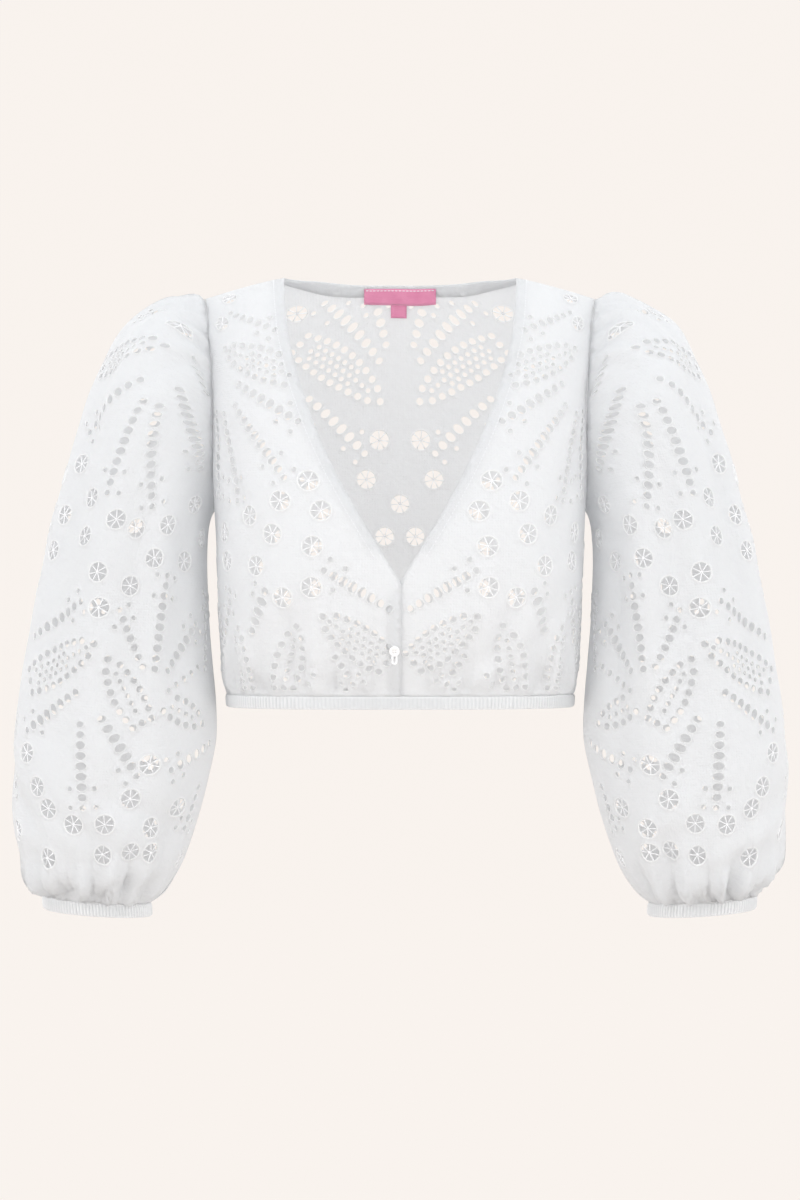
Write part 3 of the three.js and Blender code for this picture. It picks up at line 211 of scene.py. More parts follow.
# %% Measure cloth along the sleeve, so that the flat pattern isn't stretched
SLEEVE_LINES = 48
STEPS_PER_RING = 4
line_angles = np.pi * (2 * np.arange(SLEEVE_LINES + 1) / SLEEVE_LINES - 1)
line_rings = np.arange(LAST_RING * STEPS_PER_RING, -1, -1) / STEPS_PER_RING
line_points = ring_point(line_angles[:, None], line_rings[None, :])
line_steps = np.linalg.norm(np.diff(line_points, axis=1), axis=2)
SLEEVE_LENGTHS = np.concatenate([np.zeros((SLEEVE_LINES + 1, 1)), np.cumsum(line_steps, axis=1)], 1)


def line_place(around):
    at = (around / UNDERARM + 1) / 2 * SLEEVE_LINES
    low = np.clip(np.floor(at).astype(int), 0, SLEEVE_LINES - 1)
    return low, at - low


def cap_height(around):
    low, share = line_place(np.asarray(around, float))
    tops = SLEEVE_LENGTHS[:, -1]
    return tops[low] * (1 - share) + tops[low + 1] * share


def ring_on_line(index, up):
    lengths = SLEEVE_LENGTHS[index]
    i = np.clip(np.searchsorted(lengths, up, side="left") - 1, 0, len(lengths) - 2)
    return LAST_RING - (i + (up - lengths[i]) / (lengths[i + 1] - lengths[i])) / STEPS_PER_RING


def ring_at(around, up):
    low, share = line_place(around)
    ring = np.zeros_like(up)
    for index in np.unique(low):
        here = low == index
        ring[here] = ring_on_line(index, up[here]) * (1 - share[here])
        ring[here] += ring_on_line(index + 1, up[here]) * share[here]
    return np.clip(ring, 0, LAST_RING)


def sleeve_form(around, up):
    turn = 2 * UNDERARM
    wrapped = around - turn * np.round(around / turn)
    return ring_point(wrapped / SLEEVE_FLAT_RADIUS, ring_at(wrapped, up))


print("sleeve cap height in mm of cloth:", round(float(cap_height(0))))

# %% [markdown]
# Folds come in three sizes. The largest are the same soft troughs and ridges that the solids have.
# Gathers fan out beside the elastic, where more cloth than band is drawn together. Over all of it
# lies a slight unevenness, because cotton that is full of eyelets never hangs perfectly smooth.

# %% Folds: each row is a start, an end, a width and a height, in millimetres of cloth
BODY_FOLDS = {
    "front": [
        (-45, 345, -33, 392, 7, -4), (56, 340, 32, 390, 7, -4), (-97, 318, -74, 382, 9, -5),
        (94, 312, 62, 382, 9, -5), (128, 320, 104, 366, 9, -4), (-132, 350, -108, 388, 9, 4),
        (-150, 190, -118, 262, 13, -3.5), (150, 190, 122, 268, 13, -3.5),
        (-112, 30, -140, 78, 10, -2), (106, 26, 138, 70, 10, -2),
        (-62, 372, -16, 388, 8, 3), (80, 366, 50, 388, 7, 4),
    ],
    "back": [
        (-150, 180, -96, 296, 15, -4), (150, 180, 100, 304, 15, -4), (-120, 300, -92, 388, 10, -5),
        (112, 296, 88, 388, 10, -5), (-30, 310, -38, 390, 10, -4), (40, 322, 34, 390, 9, -4),
        (-70, 330, -64, 390, 9, 4), (4, 340, 0, 390, 9, 3.5),
    ],
}
SLEEVE_FOLDS = {
    "right": [
        (44, 470, 66, 150, 16, -6), (96, 420, 104, 90, 13, 4), (128, 372, 136, 120, 14, -6),
        (14, 560, 30, 430, 13, -5), (70, 500, 60, 400, 12, 4), (176, 330, 170, 150, 14, -4),
        (10, 110, 62, 60, 11, -5), (78, 84, 150, 46, 10, -5), (126, 100, 190, 74, 10, -4),
        (-40, 520, -62, 180, 17, -6), (-110, 400, -122, 90, 16, -6), (-168, 330, -160, 120, 14, -4),
        (-20, 90, -86, 56, 11, -5), (-110, 70, -180, 60, 10, -4),
    ],
    "left": [
        (50, 480, 60, 170, 15, -6), (88, 440, 92, 120, 13, 4), (116, 392, 122, 90, 13, -6),
        (20, 560, 34, 420, 12, -5), (150, 350, 148, 180, 13, 4), (186, 320, 176, 130, 14, -5),
        (18, 96, 80, 70, 11, -5), (96, 96, 164, 52, 10, -5), (60, 52, 120, 34, 8, -4),
        (-46, 520, -56, 160, 17, -6), (-102, 410, -116, 100, 16, -6), (-172, 320, -158, 140, 14, -4),
        (-28, 86, -92, 60, 11, -5), (-120, 76, -176, 56, 10, -4),
    ],
}


FOLD_END = 0.15          # a fold begins and ends at this share of a half wave


def folds_at(folds, x, y):
    total = np.zeros_like(x)
    for from_x, from_y, to_x, to_y, width, height in folds:
        run_x, run_y = to_x - from_x, to_y - from_y
        u = clamp01(((x - from_x) * run_x + (y - from_y) * run_y) / (run_x**2 + run_y**2))
        away = np.hypot(x - from_x - u * run_x, y - from_y - u * run_y)
        rise = np.sin(np.pi * (FOLD_END + (1 - 2 * FOLD_END) * u))
        total += height * np.exp(-((away / width) ** 2)) * rise
    return total


# %% Gathers beside elastic: how many waves in half a piece, their height and their reach
HEM_GATHERS = {"waves": 7, "height": 3.2, "reach": 15}
CUFF_GATHERS = {"waves": 7, "height": 4.2, "reach": 17}
CAP_GATHERS = {"waves": 5, "height": 2.6, "reach": 16, "width": 100, "full": 80, "fade": 24}
FINE_GATHERS = {"waves": 24, "height": 1.6, "reach": 13}     # the small pleats in the elastic's grip
FINE_WANDER = {"by": 2, "body": 19, "sleeve": 17}            # they aren't evenly spaced


def gathers(style, distance, around, width, wander=0.0):
    u = np.maximum(0, distance) / style["reach"]
    phase = 2 * np.pi * style["waves"] * around / width + wander
    return style["height"] * u * np.exp(1 - u) * np.cos(phase)


# %% Unevenness, and crumples in cloth that elastic or a gathered seam has drawn up
WAVES = 14
UNEVEN = {"shortest": 22, "longest": 70, "height": 0.25}
CRUMPLE = {"shortest": 9, "longest": 26}
CRUMPLE_STRETCH = 0.5        # they are longer along the gathers than across
CRUMPLE_SEED = 40
HEM_CRUMPLE = {"height": 0.5, "start": 4, "reach": 44}
CUFF_CRUMPLE = {"height": 1.0, "start": 3, "reach": 84}
CAP_CRUMPLE = {"height": 0.5, "start": 3, "reach": 46, "width": 140}


def waves_at(x, y, seed, shortest, longest, height):
    chance = np.random.default_rng(seed)
    total = np.zeros_like(x)
    for _ in range(WAVES):
        wave = chance.uniform(shortest, longest)
        turn = chance.uniform(0, np.pi)
        start = chance.uniform(0, 2 * np.pi)
        along = x * np.cos(turn) + y * np.sin(turn)
        total += np.sin(along * 2 * np.pi / wave + start) * wave / longest
    return total * height


def crumples(style, x, y, seed, distance):
    height = waves_at(x, y * CRUMPLE_STRETCH, CRUMPLE_SEED + seed, height=style["height"], **CRUMPLE)
    return height * smooth(distance / style["start"]) * (1 - smooth(distance / style["reach"]))


# %% The whole relief of the body and of a sleeve. It fades out at every seam
BODY_FADE = {"shoulder": 30, "hem": 14, "placket": (8, 18), "sleeve": (0.72 * SIDE, 0.2 * SIDE, 0.75)}
SLEEVE_FADE = {"cap": 20, "cuff": 12, "body": (0.74 * UNDERARM, 0.16 * UNDERARM, 0.85)}
LOW_SLEEVE = {"start": 30, "over": 90, "more": 1.4}          # the sleeve is less even near its cuff
SEEDS = {"front": 3, "back": 4, "right": 5, "left": 6, "cap": 2}


def beside(distance, fade):
    start, over, share = fade
    return 1 - share * smooth((np.abs(distance) - start) / over)


def body_relief(face, across, down):
    above_hem, seed = HEM_CLOTH - down, SEEDS[face]
    relief = folds_at(BODY_FOLDS[face], across, down)
    relief += gathers(HEM_GATHERS, above_hem, across, SIDE)
    wander = FINE_WANDER["by"] * np.sin(across / FINE_WANDER["body"])
    relief += gathers(FINE_GATHERS, above_hem, across, SIDE, wander)
    seams = smooth(down / BODY_FADE["shoulder"]) * smooth(above_hem / BODY_FADE["hem"])
    relief += waves_at(across, down, seed, **UNEVEN) * seams
    relief += crumples(HEM_CRUMPLE, across, down, seed, above_hem)
    start, over = BODY_FADE["placket"]
    placket = smooth((np.abs(across) - start) / over) if face == "front" else 1
    return relief * beside(across, BODY_FADE["sleeve"]) * placket


def sleeve_relief(side, around, up):
    below_cap, seed = cap_height(np.clip(around, -UNDERARM, UNDERARM)) - up, SEEDS[side]
    relief = folds_at(SLEEVE_FOLDS[side], around, up)
    relief += gathers(CUFF_GATHERS, up, around, UNDERARM)
    wander = FINE_WANDER["by"] * np.sin(around / FINE_WANDER["sleeve"])
    relief += gathers(FINE_GATHERS, up, around, UNDERARM, wander)
    at_cap = 1 - smooth((np.abs(around) - CAP_GATHERS["full"]) / CAP_GATHERS["fade"])
    relief += gathers(CAP_GATHERS, below_cap, around, CAP_GATHERS["width"]) * at_cap
    seams = smooth(below_cap / SLEEVE_FADE["cap"]) * smooth(up / SLEEVE_FADE["cuff"])
    low = 1 - smooth((up - LOW_SLEEVE["start"]) / LOW_SLEEVE["over"])
    relief += waves_at(around, up, seed, **UNEVEN) * seams * (1 + LOW_SLEEVE["more"] * low)
    relief += crumples(CUFF_CRUMPLE, around, up, seed, up)
    at_cap = 1 - smooth(np.abs(around) / CAP_CRUMPLE["width"])
    relief += crumples(CAP_CRUMPLE, up, around, seed + SEEDS["cap"], below_cap) * at_cap
    return relief * beside(around, SLEEVE_FADE["body"])


# %% Lay flat places on a form, lifted off it along its normal
def lifted(form, u, v, lift, outward, step=0.5):
    along_u = form(u + step, v) - form(u - step, v)
    along_v = form(u, v + step) - form(u, np.maximum(v - step, 0))
    normal = np.cross(along_u, along_v)
    normal /= np.maximum(np.linalg.norm(normal, axis=-1, keepdims=True), 1e-9)
    return form(u, v) + normal * (outward * lift)[..., None]


def on_body(face, inset=None):
    outward = -1.0 if face == "front" else 1.0

    def place(across, down, lift):
        relief = body_relief(face, across, down) - (inset(across) if inset else 0)
        point = lifted(lambda u, v: body_form(face, u, v), across, down, relief + lift, outward)
        point[..., 1] = outward * np.maximum(HALF_GAP, outward * point[..., 1])
        return point

    return place


def on_sleeve(side):
    mirror = -1.0 if side == "right" else 1.0

    def place(around, up, lift):
        relief = sleeve_relief(side, around, up)
        point = lifted(sleeve_form, around, up, relief + lift, -1.0)
        return point * np.array([mirror, 1, 1])

    return place


UNDERLAP_RAMP = (2, 11)


def underlap_inset(across):
    start, end = UNDERLAP_RAMP
    return UNDERLAP_DEPTH * (1 - smooth((across - start) / (end - start)))


# %% [markdown]
# The lace is charted on half of each piece, and mirrored onto the other half. It has three
# motifs, which are common in cutwork. A ray is a line of oval eyelets that swell on its way out. A
# leaf is a net of small round eyelets inside a rim of larger ones. A wheel is a large eyelet with
# thread spokes. Where two eyelets would come too close, the later one is left out, so a bar of cloth
# always stays between them.

# %% The chart: a ray or a leaf is from x, y to x, y and its widest half width, a wheel is x, y
HEM_RAYS = [
    (5, 320, 62, 286, 4.6), (122, 340, 104, 300, 5.6), (54, 356, 36, 386, 3.2),
    (66, 368, 76, 389, 2.6), (176, 374, 150, 300, 4.4), (188, 376, 190, 294, 4.4),
    (200, 374, 224, 306, 4.4),
]
HEM_LEAVES = [(60, 324, 11, 364, 14), (82, 333, 94, 386, 10.5), (138, 334, 134, 388, 10)]
SIDE_RAYS = [
    (158, 150, 168, 232, 4.2), (146, 153, 137, 236, 4.6), (132, 147, 85, 218, 4.6),
    (128, 128, 72, 171, 4.6),
]
SIDE_WHEELS = [
    (69, 217), (91, 233), (121, 244), (99, 259), (60, 241), (67, 269), (115, 284), (68, 301),
    (91, 309), (142, 64), (132, 32), (157, 257), (152, 280), (190, 272), (214, 284),
]
FRONT_CHART = {
    "rays": [*SIDE_RAYS, (135, 50, 87, 88, 3.6), *HEM_RAYS],
    "leaves": [(138, 94, 80, 128, 13), *HEM_LEAVES],
    "wheels": SIDE_WHEELS,
}
BACK_CHART = {
    "rays": [
        (14, 119, 59, 52, 4.6), (10, 108, 20, 66, 3.8), (74, 134, 26, 190, 4.8),
        *SIDE_RAYS, *HEM_RAYS,
    ],
    "leaves": [(16, 146, 76, 88, 13), (142, 98, 100, 118, 10), *HEM_LEAVES],
    "wheels": [(17, 176), (28, 208), (77, 58), (0, 229), (13, 257), *SIDE_WHEELS],
}
SLEEVE_CHART = {
    "rays": [
        (106, 421, 136, 328, 4.8), (96, 422, 91, 336, 4.8), (86, 440, 38, 386, 4.4),
        (104, 444, 168, 370, 4.6), (150, 199, 159, 282, 4.6), (160, 199, 198, 243, 4.2),
        (143, 201, 116, 252, 3.6), (31, 217, 88, 255, 4.4), (94, 183, 42, 142, 4.8),
        (97, 160, 105, 86, 4.4), (110, 165, 146, 114, 4.8), (216, 146, 166, 121, 4.4),
        (209, 112, 201, 70, 4), (160, 184, 200, 208, 2.8), (82, 492, 114, 458, 2.6),
        (38, 524, 8, 496, 3.6), (12, 250, 10, 330, 4.4), (16, 160, 13, 84, 4.4),
        (206, 200, 222, 268, 3.8), (148, 440, 186, 378, 3.6),
    ],
    "leaves": [
        (74, 476, 20, 444, 12), (102, 220, 40, 184, 14), (113, 209, 143, 160, 11),
        (198, 160, 162, 176, 9), (122, 478, 158, 440, 8),
    ],
    "wheels": [
        (44, 363), (74, 336), (104, 320), (123, 314), (153, 318), (40, 320), (76, 305), (144, 291),
        (181, 290), (97, 277), (125, 268), (102, 249), (62, 102), (73, 86), (96, 76), (122, 78),
        (141, 99), (152, 127), (48, 127), (162, 76), (166, 56), (122, 52), (147, 56), (70, 46),
        (60, 506), (181, 338), (18, 352), (36, 290), (30, 62), (205, 310), (186, 92), (212, 48),
    ],
}
WHEEL_RADIUS = 7.6
EYELET_PITCH = 8.2
EYELET_HALF_LENGTH = 3.2
DOT_RADIUS = 2
SMALL_RAY = 3            # a ray narrower than this has no dots beside it
DOTS = {"at": (0.74, 0.94), "off": 3.6, "spread": 2}
SWELL = {"power": 1.35, "span": 0.85, "start": 0.12}         # how a ray widens on its way out
ROUNDNESS = 0.85         # an eyelet's half length for its half width
LEAF_SHAPE = {"power": 0.8, "span": 0.72, "start": 0.05}
LEAF_RIM = {"pitch": 7.8, "radius": 2.9}
LEAF_NET = {"pitch": 6.6, "row": 5.6, "radius": 1.95, "inside": 5.4}
BAR = 1.5                # the least cloth left between two eyelets
EDGE_MARGIN = 3          # and between an eyelet and the piece's edge


# %% Eyelets of a ray and of a leaf: centre, turn, half width, half length and whether it's a wheel
def on_branch(branch, sign):
    start = np.array([branch[0] * sign, branch[1]], float)
    run = np.array([branch[2] * sign, branch[3]], float) - start
    length = float(np.hypot(*run))
    ahead = run / length
    turn = np.arctan2(ahead[1], ahead[0]) - np.pi / 2

    def eyelet(share, off, half, half_length):
        x, y = start + ahead * share * length + np.array([-ahead[1], ahead[0]]) * off
        return (x, y, turn, half, half_length, 0.0)

    return length, eyelet


def ray_eyelets(ray, sign):
    length, eyelet = on_branch(ray, sign)
    widest = ray[4]
    count = int(length // EYELET_PITCH)
    eyelets = []
    for i in range(count):
        share = (i + 0.5) / count
        swell = np.sin(np.pi * (share ** SWELL["power"] * SWELL["span"] + SWELL["start"]))
        half = DOT_RADIUS + (widest - DOT_RADIUS) * swell
        half_length = min(EYELET_HALF_LENGTH, max(DOT_RADIUS, half * ROUNDNESS))
        eyelets.append(eyelet(share, 0, half, half_length))
    for share in () if widest < SMALL_RAY else DOTS["at"]:
        off = widest + DOTS["off"] + DOTS["spread"] * share
        eyelets += [eyelet(share, way * off, DOT_RADIUS, DOT_RADIUS) for way in (-1, 1)]
    return eyelets


def leaf_eyelets(leaf, sign):
    length, eyelet = on_branch(leaf, sign)
    rim, net = LEAF_RIM["radius"], LEAF_NET["radius"]

    def half_width(share):
        turn = np.pi * (LEAF_SHAPE["start"] + LEAF_SHAPE["span"] * share)
        return leaf[4] * np.sin(turn) ** LEAF_SHAPE["power"]

    steps = int(length // LEAF_RIM["pitch"])
    eyelets = [eyelet(0, 0, rim, rim)]
    for i in range(1, steps + 1):
        for way in (-1, 1):
            eyelets.append(eyelet(i / steps, way * half_width(i / steps), rim, rim))
    for off in np.arange(0, half_width(1), LEAF_RIM["pitch"]):
        eyelets += [eyelet(1, off, rim, rim), eyelet(1, -off, rim, rim)]
    rows = int(np.ceil(leaf[4] / LEAF_NET["row"]))
    for row in range(-rows, rows + 1):
        off = row * LEAF_NET["row"]
        for along in np.arange(0 if row % 2 == 0 else LEAF_NET["pitch"] / 2, length, LEAF_NET["pitch"]):
            if abs(off) < half_width(along / length) - LEAF_NET["inside"]:
                eyelets.append(eyelet(along / length, off, net, net))
    return eyelets


# %% Tell whether a place is inside an outline, and how far it is from the edge
def edge_distance(points, loop):
    a = np.array(loop, float)
    run = np.roll(a, -1, axis=0) - a
    away = points[:, None, :] - a[None]
    u = clamp01((away * run).sum(-1) / np.maximum((run**2).sum(-1), 1e-12))
    return np.linalg.norm(away - u[..., None] * run, axis=-1).min(1)


def is_inside(points, loop):
    a = np.array(loop, float)
    b = np.roll(a, -1, axis=0)
    x, y = points[:, 0:1], points[:, 1:2]
    spans = (a[:, 1] > y) != (b[:, 1] > y)
    with np.errstate(divide="ignore", invalid="ignore"):
        cuts = x < a[:, 0] + (b[:, 0] - a[:, 0]) * (y - a[:, 1]) / (b[:, 1] - a[:, 1])
    return (spans & cuts).sum(1) % 2 == 1


# %% Place the eyelets of a piece: wheels first, then the rest, each clear of the earlier ones
def reach_towards(eyelets, dx, dy):
    angle = np.arctan2(dy, dx) - eyelets[:, 2]
    return 1 / np.hypot(np.cos(angle) / eyelets[:, 3], np.sin(angle) / eyelets[:, 4])


def place_eyelets(chart, signs, outline):
    wheels = [(x * sign, y) for sign in signs for x, y in chart["wheels"]]
    wanted = [(x, y, 0.0, WHEEL_RADIUS, WHEEL_RADIUS, 1.0) for x, y in wheels]
    for kind, eyelets_of in (("rays", ray_eyelets), ("leaves", leaf_eyelets)):
        for sign in signs:
            for branch in chart[kind]:
                wanted += eyelets_of(branch, sign)
    wanted = np.array(wanted, float)
    reach = wanted[:, 3:5].max(1)
    points = wanted[:, :2]
    allowed = is_inside(points, outline) & (edge_distance(points, outline) > reach + EDGE_MARGIN)
    placed = np.zeros((0, 6))
    for row in wanted[allowed]:
        dx, dy = row[0] - placed[:, 0], row[1] - placed[:, 1]
        need = reach_towards(placed, dx, dy) + reach_towards(row[None, :], dx, dy) + BAR
        if not len(placed) or np.all(dx**2 + dy**2 >= need**2):
            placed = np.vstack([placed, row])
    return placed


# %% [markdown]
# The outlines of the flat pieces come next. Each runs along its seams: hem, side, armhole,
# shoulder, neck and centre. They are the same curves as the solids have, with more points, because
# cloth bends finely.

# %% Outlines of the flat pieces
TOP = HALF_GAP
BOTTOM = HEM_CLOTH - HALF_GAP
ARMHOLE_INSET = 0.35
CLOTH_STEP = 4.4
ARMHOLE_STEPS, NECK_STEPS, BACK_NECK_STEPS, CAP_STEPS = 56, 62, 30, 56
UNDERLAP_TOP = V_CLOTH + 1.35 * OVERLAP
PLACKET_TOP, V_TIP = V_CLOTH + 2, V_CLOTH - 0.5
PAST_CENTRE = 1              # the right front's edge lies this far past the centre line
NECK_ACROSS = float(across_at(NECK_HALF_WIDTH, 0))


# %% Edges that several pieces share
def neckline_across(down):
    return across_at(read(NECKLINE, "cloth", down, "half"), down)


def back_neck_down(across):
    return BACK_NECK_CLOTH * (1 - clamp01(np.abs(across) / NECK_ACROSS) ** BACK_NECK_CURVE)


def segment(start, end, step=CLOTH_STEP):
    count = max(1, round(float(np.hypot(end[0] - start[0], end[1] - start[1])) / step))
    share = np.arange(count)[:, None] / count
    return np.array(start, float) + (np.array(end, float) - np.array(start, float)) * share


def armhole_edge(face):
    shares, _, downs = ARMHOLE_LINES[face]
    down = np.interp(np.arange(ARMHOLE_STEPS, 0, -1) / ARMHOLE_STEPS, shares, downs)
    across = armhole_across(down) - ARMHOLE_INSET
    return np.stack([across, down + ARMHOLE_INSET * down / UNDERARM_CLOTH], -1)


def neck_edge():
    down = np.maximum(TOP, V_CLOTH * np.arange(NECK_STEPS) / NECK_STEPS)
    return np.stack([neckline_across(down), down], -1)


def side_and_armhole(face):
    shoulder = armhole_across(0) - ARMHOLE_INSET
    return [
        segment((0, BOTTOM), (SIDE - HALF_GAP, BOTTOM)),
        segment((SIDE - HALF_GAP, BOTTOM), (SIDE - HALF_GAP, UNDERARM_CLOTH + HALF_GAP)),
        armhole_edge(face),
        segment((shoulder, TOP), (NECK_ACROSS, TOP)),
    ]


# %% The whole outlines
def front_left_outline():
    corners = [(-OVERLAP, UNDERLAP_TOP), (-OVERLAP, BOTTOM), (0, BOTTOM)]
    edge = [segment(a, b) for a, b in zip(corners, corners[1:])]
    return np.concatenate([*edge, *side_and_armhole("front"), neck_edge()])


def front_right_outline():
    corner = (-PAST_CENTRE, BOTTOM)
    half = np.concatenate(side_and_armhole("front"))[1:]
    edge = [segment((-PAST_CENTRE, PLACKET_TOP), corner), [corner]]
    loop = np.concatenate([*edge, half, neck_edge(), [[0, V_TIP]]])
    return (loop * [-1, 1])[::-1]


def back_outline():
    across = NECK_ACROSS * (1 - np.arange(BACK_NECK_STEPS) / BACK_NECK_STEPS)
    neck = np.stack([across, np.maximum(TOP, back_neck_down(across))], -1)
    right = np.concatenate([*side_and_armhole("back"), neck])
    return np.concatenate([right, [[0, BACK_NECK_CLOTH]], (right[1:] * [-1, 1])[::-1]])


def half_sleeve_outline(sign):
    inner, start = UNDERARM - SEAM_GAP, 2 * SEAM_GAP
    arounds = UNDERARM * np.arange(CAP_STEPS, -1, -1) / CAP_STEPS
    arounds = np.clip(arounds, SEAM_GAP, inner) * sign
    cap = np.stack([arounds, cap_height(arounds) - SEAM_GAP], -1)
    return np.concatenate([
        segment((SEAM_GAP * sign, start), (inner * sign, start)),
        segment((inner * sign, start), cap[0]),
        cap[:-1],
        segment(cap[-1], (SEAM_GAP * sign, start)),
    ])


# %% [markdown]
# A worked eyelet has three parts that the eye reads: the hole, the raised satin stitch round it,
# and the flat cloth outside. So each eyelet brings three rings of points: the hole's edge, the
# stitch's crest and its foot. All points of a piece are then joined by a Delaunay triangulation,
# which makes the most even triangles that the rings allow.

# %% The three rings of an eyelet
CREST_OUT, FOOT_OUT = 0.42, 0.78
WHEEL_CREST_OUT, WHEEL_FOOT_OUT = 0.8, 1.6
STITCH_HEIGHT, WHEEL_STITCH_HEIGHT = 0.5, 0.75
HOLE_EDGE_SHARE = 0.4        # of the crest's height, where the stitches turn into the hole
SMALL_SIDES, RAY_SIDES, WHEEL_SIDES = 8, 10, 18
RAY_HALF_WIDTH = 3.4         # wider eyelets get more sides
ROW_SHARE = 0.87             # rows of an even net of triangles, as a share of its step
EDGE_CLEAR = 0.45            # no plain place lies nearer the edge, in steps
STITCH_CLEAR = 1.1           # nor nearer a stitch, in millimetres
MEETING_LIFT = 0.3           # the height where two stitches cross
SAME_PLACE = 1e-5            # nearer than this, two points are one
NO_EYELETS = np.zeros((0, 6))


def oval(eyelet, grow, sides):
    angle = 2 * np.pi * np.arange(sides) / sides
    u, v = (eyelet[3] + grow) * np.cos(angle), (eyelet[4] + grow) * np.sin(angle)
    cos, sin = np.cos(eyelet[2]), np.sin(eyelet[2])
    return np.stack([eyelet[0] + u * cos - v * sin, eyelet[1] + u * sin + v * cos], -1)


def eyelet_rings(eyelet):
    wheel = eyelet[5] > 0
    sides = WHEEL_SIDES if wheel else RAY_SIDES if eyelet[3] > RAY_HALF_WIDTH else SMALL_SIDES
    crest, foot = (WHEEL_CREST_OUT, WHEEL_FOOT_OUT) if wheel else (CREST_OUT, FOOT_OUT)
    height = WHEEL_STITCH_HEIGHT if wheel else STITCH_HEIGHT
    rings = ((0, height * HOLE_EDGE_SHARE), (crest, height), (foot, 0.0))
    return [(oval(eyelet, grow, sides), lift) for grow, lift in rings]


# %% Plain places between the eyelets, in an even net
def plain_places(outline, eyelets, step=CLOTH_STEP):
    low, high = outline.min(0), outline.max(0)
    rows = np.arange(low[1] + step / 2, high[1], step * ROW_SHARE)
    places = []
    for number, y in enumerate(rows):
        x = np.arange(low[0] + step * (0.5 if number % 2 else 1.0), high[0], step)
        places.append(np.stack([x, np.full_like(x, y)], -1))
    places = np.concatenate(places)
    places = places[is_inside(places, outline)]
    places = places[edge_distance(places, outline) > step * EDGE_CLEAR]
    keep = np.ones(len(places), bool)
    for eyelet in eyelets:
        dx, dy = places[:, 0] - eyelet[0], places[:, 1] - eyelet[1]
        near = dx**2 + dy**2 < (eyelet[3] + 6) ** 2
        if near.any():
            reach = reach_towards(eyelet[None, :5], dx[near], dy[near]) + FOOT_OUT + STITCH_CLEAR
            keep[np.flatnonzero(near)[np.hypot(dx[near], dy[near]) < reach]] = False
    return places[keep]


# %% Triangulate a flat piece with its eyelets
def flat_mesh(outline, eyelets, step=CLOTH_STEP):
    points, edges, lifts, stitches = [], [], [], []

    def add_loop(loop, lift, stitch):
        start = sum(len(p) for p in points)
        count = len(loop)
        points.append(loop)
        edges.extend((start + i, start + (i + 1) % count) for i in range(count))
        lifts.append(np.full(count, lift))
        stitches.append(np.full(count, stitch))

    add_loop(outline, 0.0, 0.0)
    for eyelet in eyelets:
        for number, (loop, lift) in enumerate(eyelet_rings(eyelet)):
            add_loop(loop, lift, 0.0 if number == 2 else 1.0)
    plain = plain_places(outline, eyelets, step)
    points.append(plain)
    lifts.append(np.zeros(len(plain)))
    stitches.append(np.zeros(len(plain)))
    coords = [Vector(p) for p in np.concatenate(points).tolist()]
    lift, stitch = np.concatenate(lifts), np.concatenate(stitches)
    corners, _, triangles, origins, _, _ = delaunay_2d_cdt(coords, edges, [], 0, SAME_PLACE)
    places, triangles = np.array([tuple(v) for v in corners]), np.array(triangles)
    heights = np.array([lift[o].max() if len(o) else MEETING_LIFT for o in origins])
    stitched = np.array([stitch[o].max() if len(o) else 1.0 for o in origins])
    middle = places[triangles].mean(1)
    keep = is_inside(middle, outline)
    for eyelet in eyelets:
        loop = eyelet_rings(eyelet)[0][0]
        near = np.hypot(middle[:, 0] - eyelet[0], middle[:, 1] - eyelet[1]) < eyelet[3] + 1
        near &= keep
        if near.any():
            index = np.flatnonzero(near)
            keep[index[is_inside(middle[index], loop)]] = False
    triangles = triangles[keep]
    used, compact = np.unique(triangles, return_inverse=True)
    return places[used], compact.reshape(triangles.shape), heights[used], stitched[used]


# %% [markdown]
# Cloth has two faces and an edge. A wall of cloth is the flat mesh laid on its form twice, the
# second time a thread's thickness further in, and closed along every cut edge. The stitches stand
# proud on both faces, as they do on real cutwork.

# %% Helpers that make and mend a mesh
CLOTH_THICKNESS = 0.55
INNER_STITCH = 0.6      # on the wrong side the stitches stand less high
UV_MM = 100             # millimetres of cloth for one unit of the piece's UV map


def mesh_object(name, points, faces):
    mesh = bpy.data.meshes.new(name)
    mesh.from_pydata((points * MM).tolist(), [], [tuple(f) for f in faces])
    mesh.update()
    piece = bpy.data.objects.new(name, mesh)
    bpy.context.scene.collection.objects.link(piece)
    return piece


def ring_faces(base, sides, rings, closed=False):
    faces = []
    for ring in range(rings if closed else rings - 1):
        for k in range(sides):
            a, b = base + ring * sides, base + (ring + 1) % rings * sides
            faces.append((a + k, a + (k + 1) % sides, b + (k + 1) % sides, b + k))
    return faces


def end_faces(base, sides, rings):
    last = base + (rings - 1) * sides
    return [tuple(base + k for k in reversed(range(sides))), tuple(last + k for k in range(sides))]


def only(piece):
    bpy.ops.object.select_all(action="DESELECT")
    bpy.context.view_layer.objects.active = piece
    piece.select_set(True)


def turn_faces_out(piece):
    only(piece)
    bpy.ops.object.mode_set(mode="EDIT")
    bpy.ops.mesh.select_all(action="SELECT")
    bpy.ops.mesh.normals_make_consistent(inside=False)
    bpy.ops.object.mode_set(mode="OBJECT")
    piece.select_set(False)


def follow_cloth(mesh, flat_places, attribute, values):
    loops = np.zeros(len(mesh.loops), np.int32)
    mesh.loops.foreach_get("vertex_index", loops)
    uv = mesh.uv_layers.new(name="cloth")
    uv.data.foreach_set("uv", (flat_places[loops] / UV_MM).ravel())
    mesh.attributes.new(attribute, "FLOAT", "POINT").data.foreach_set("value", values)


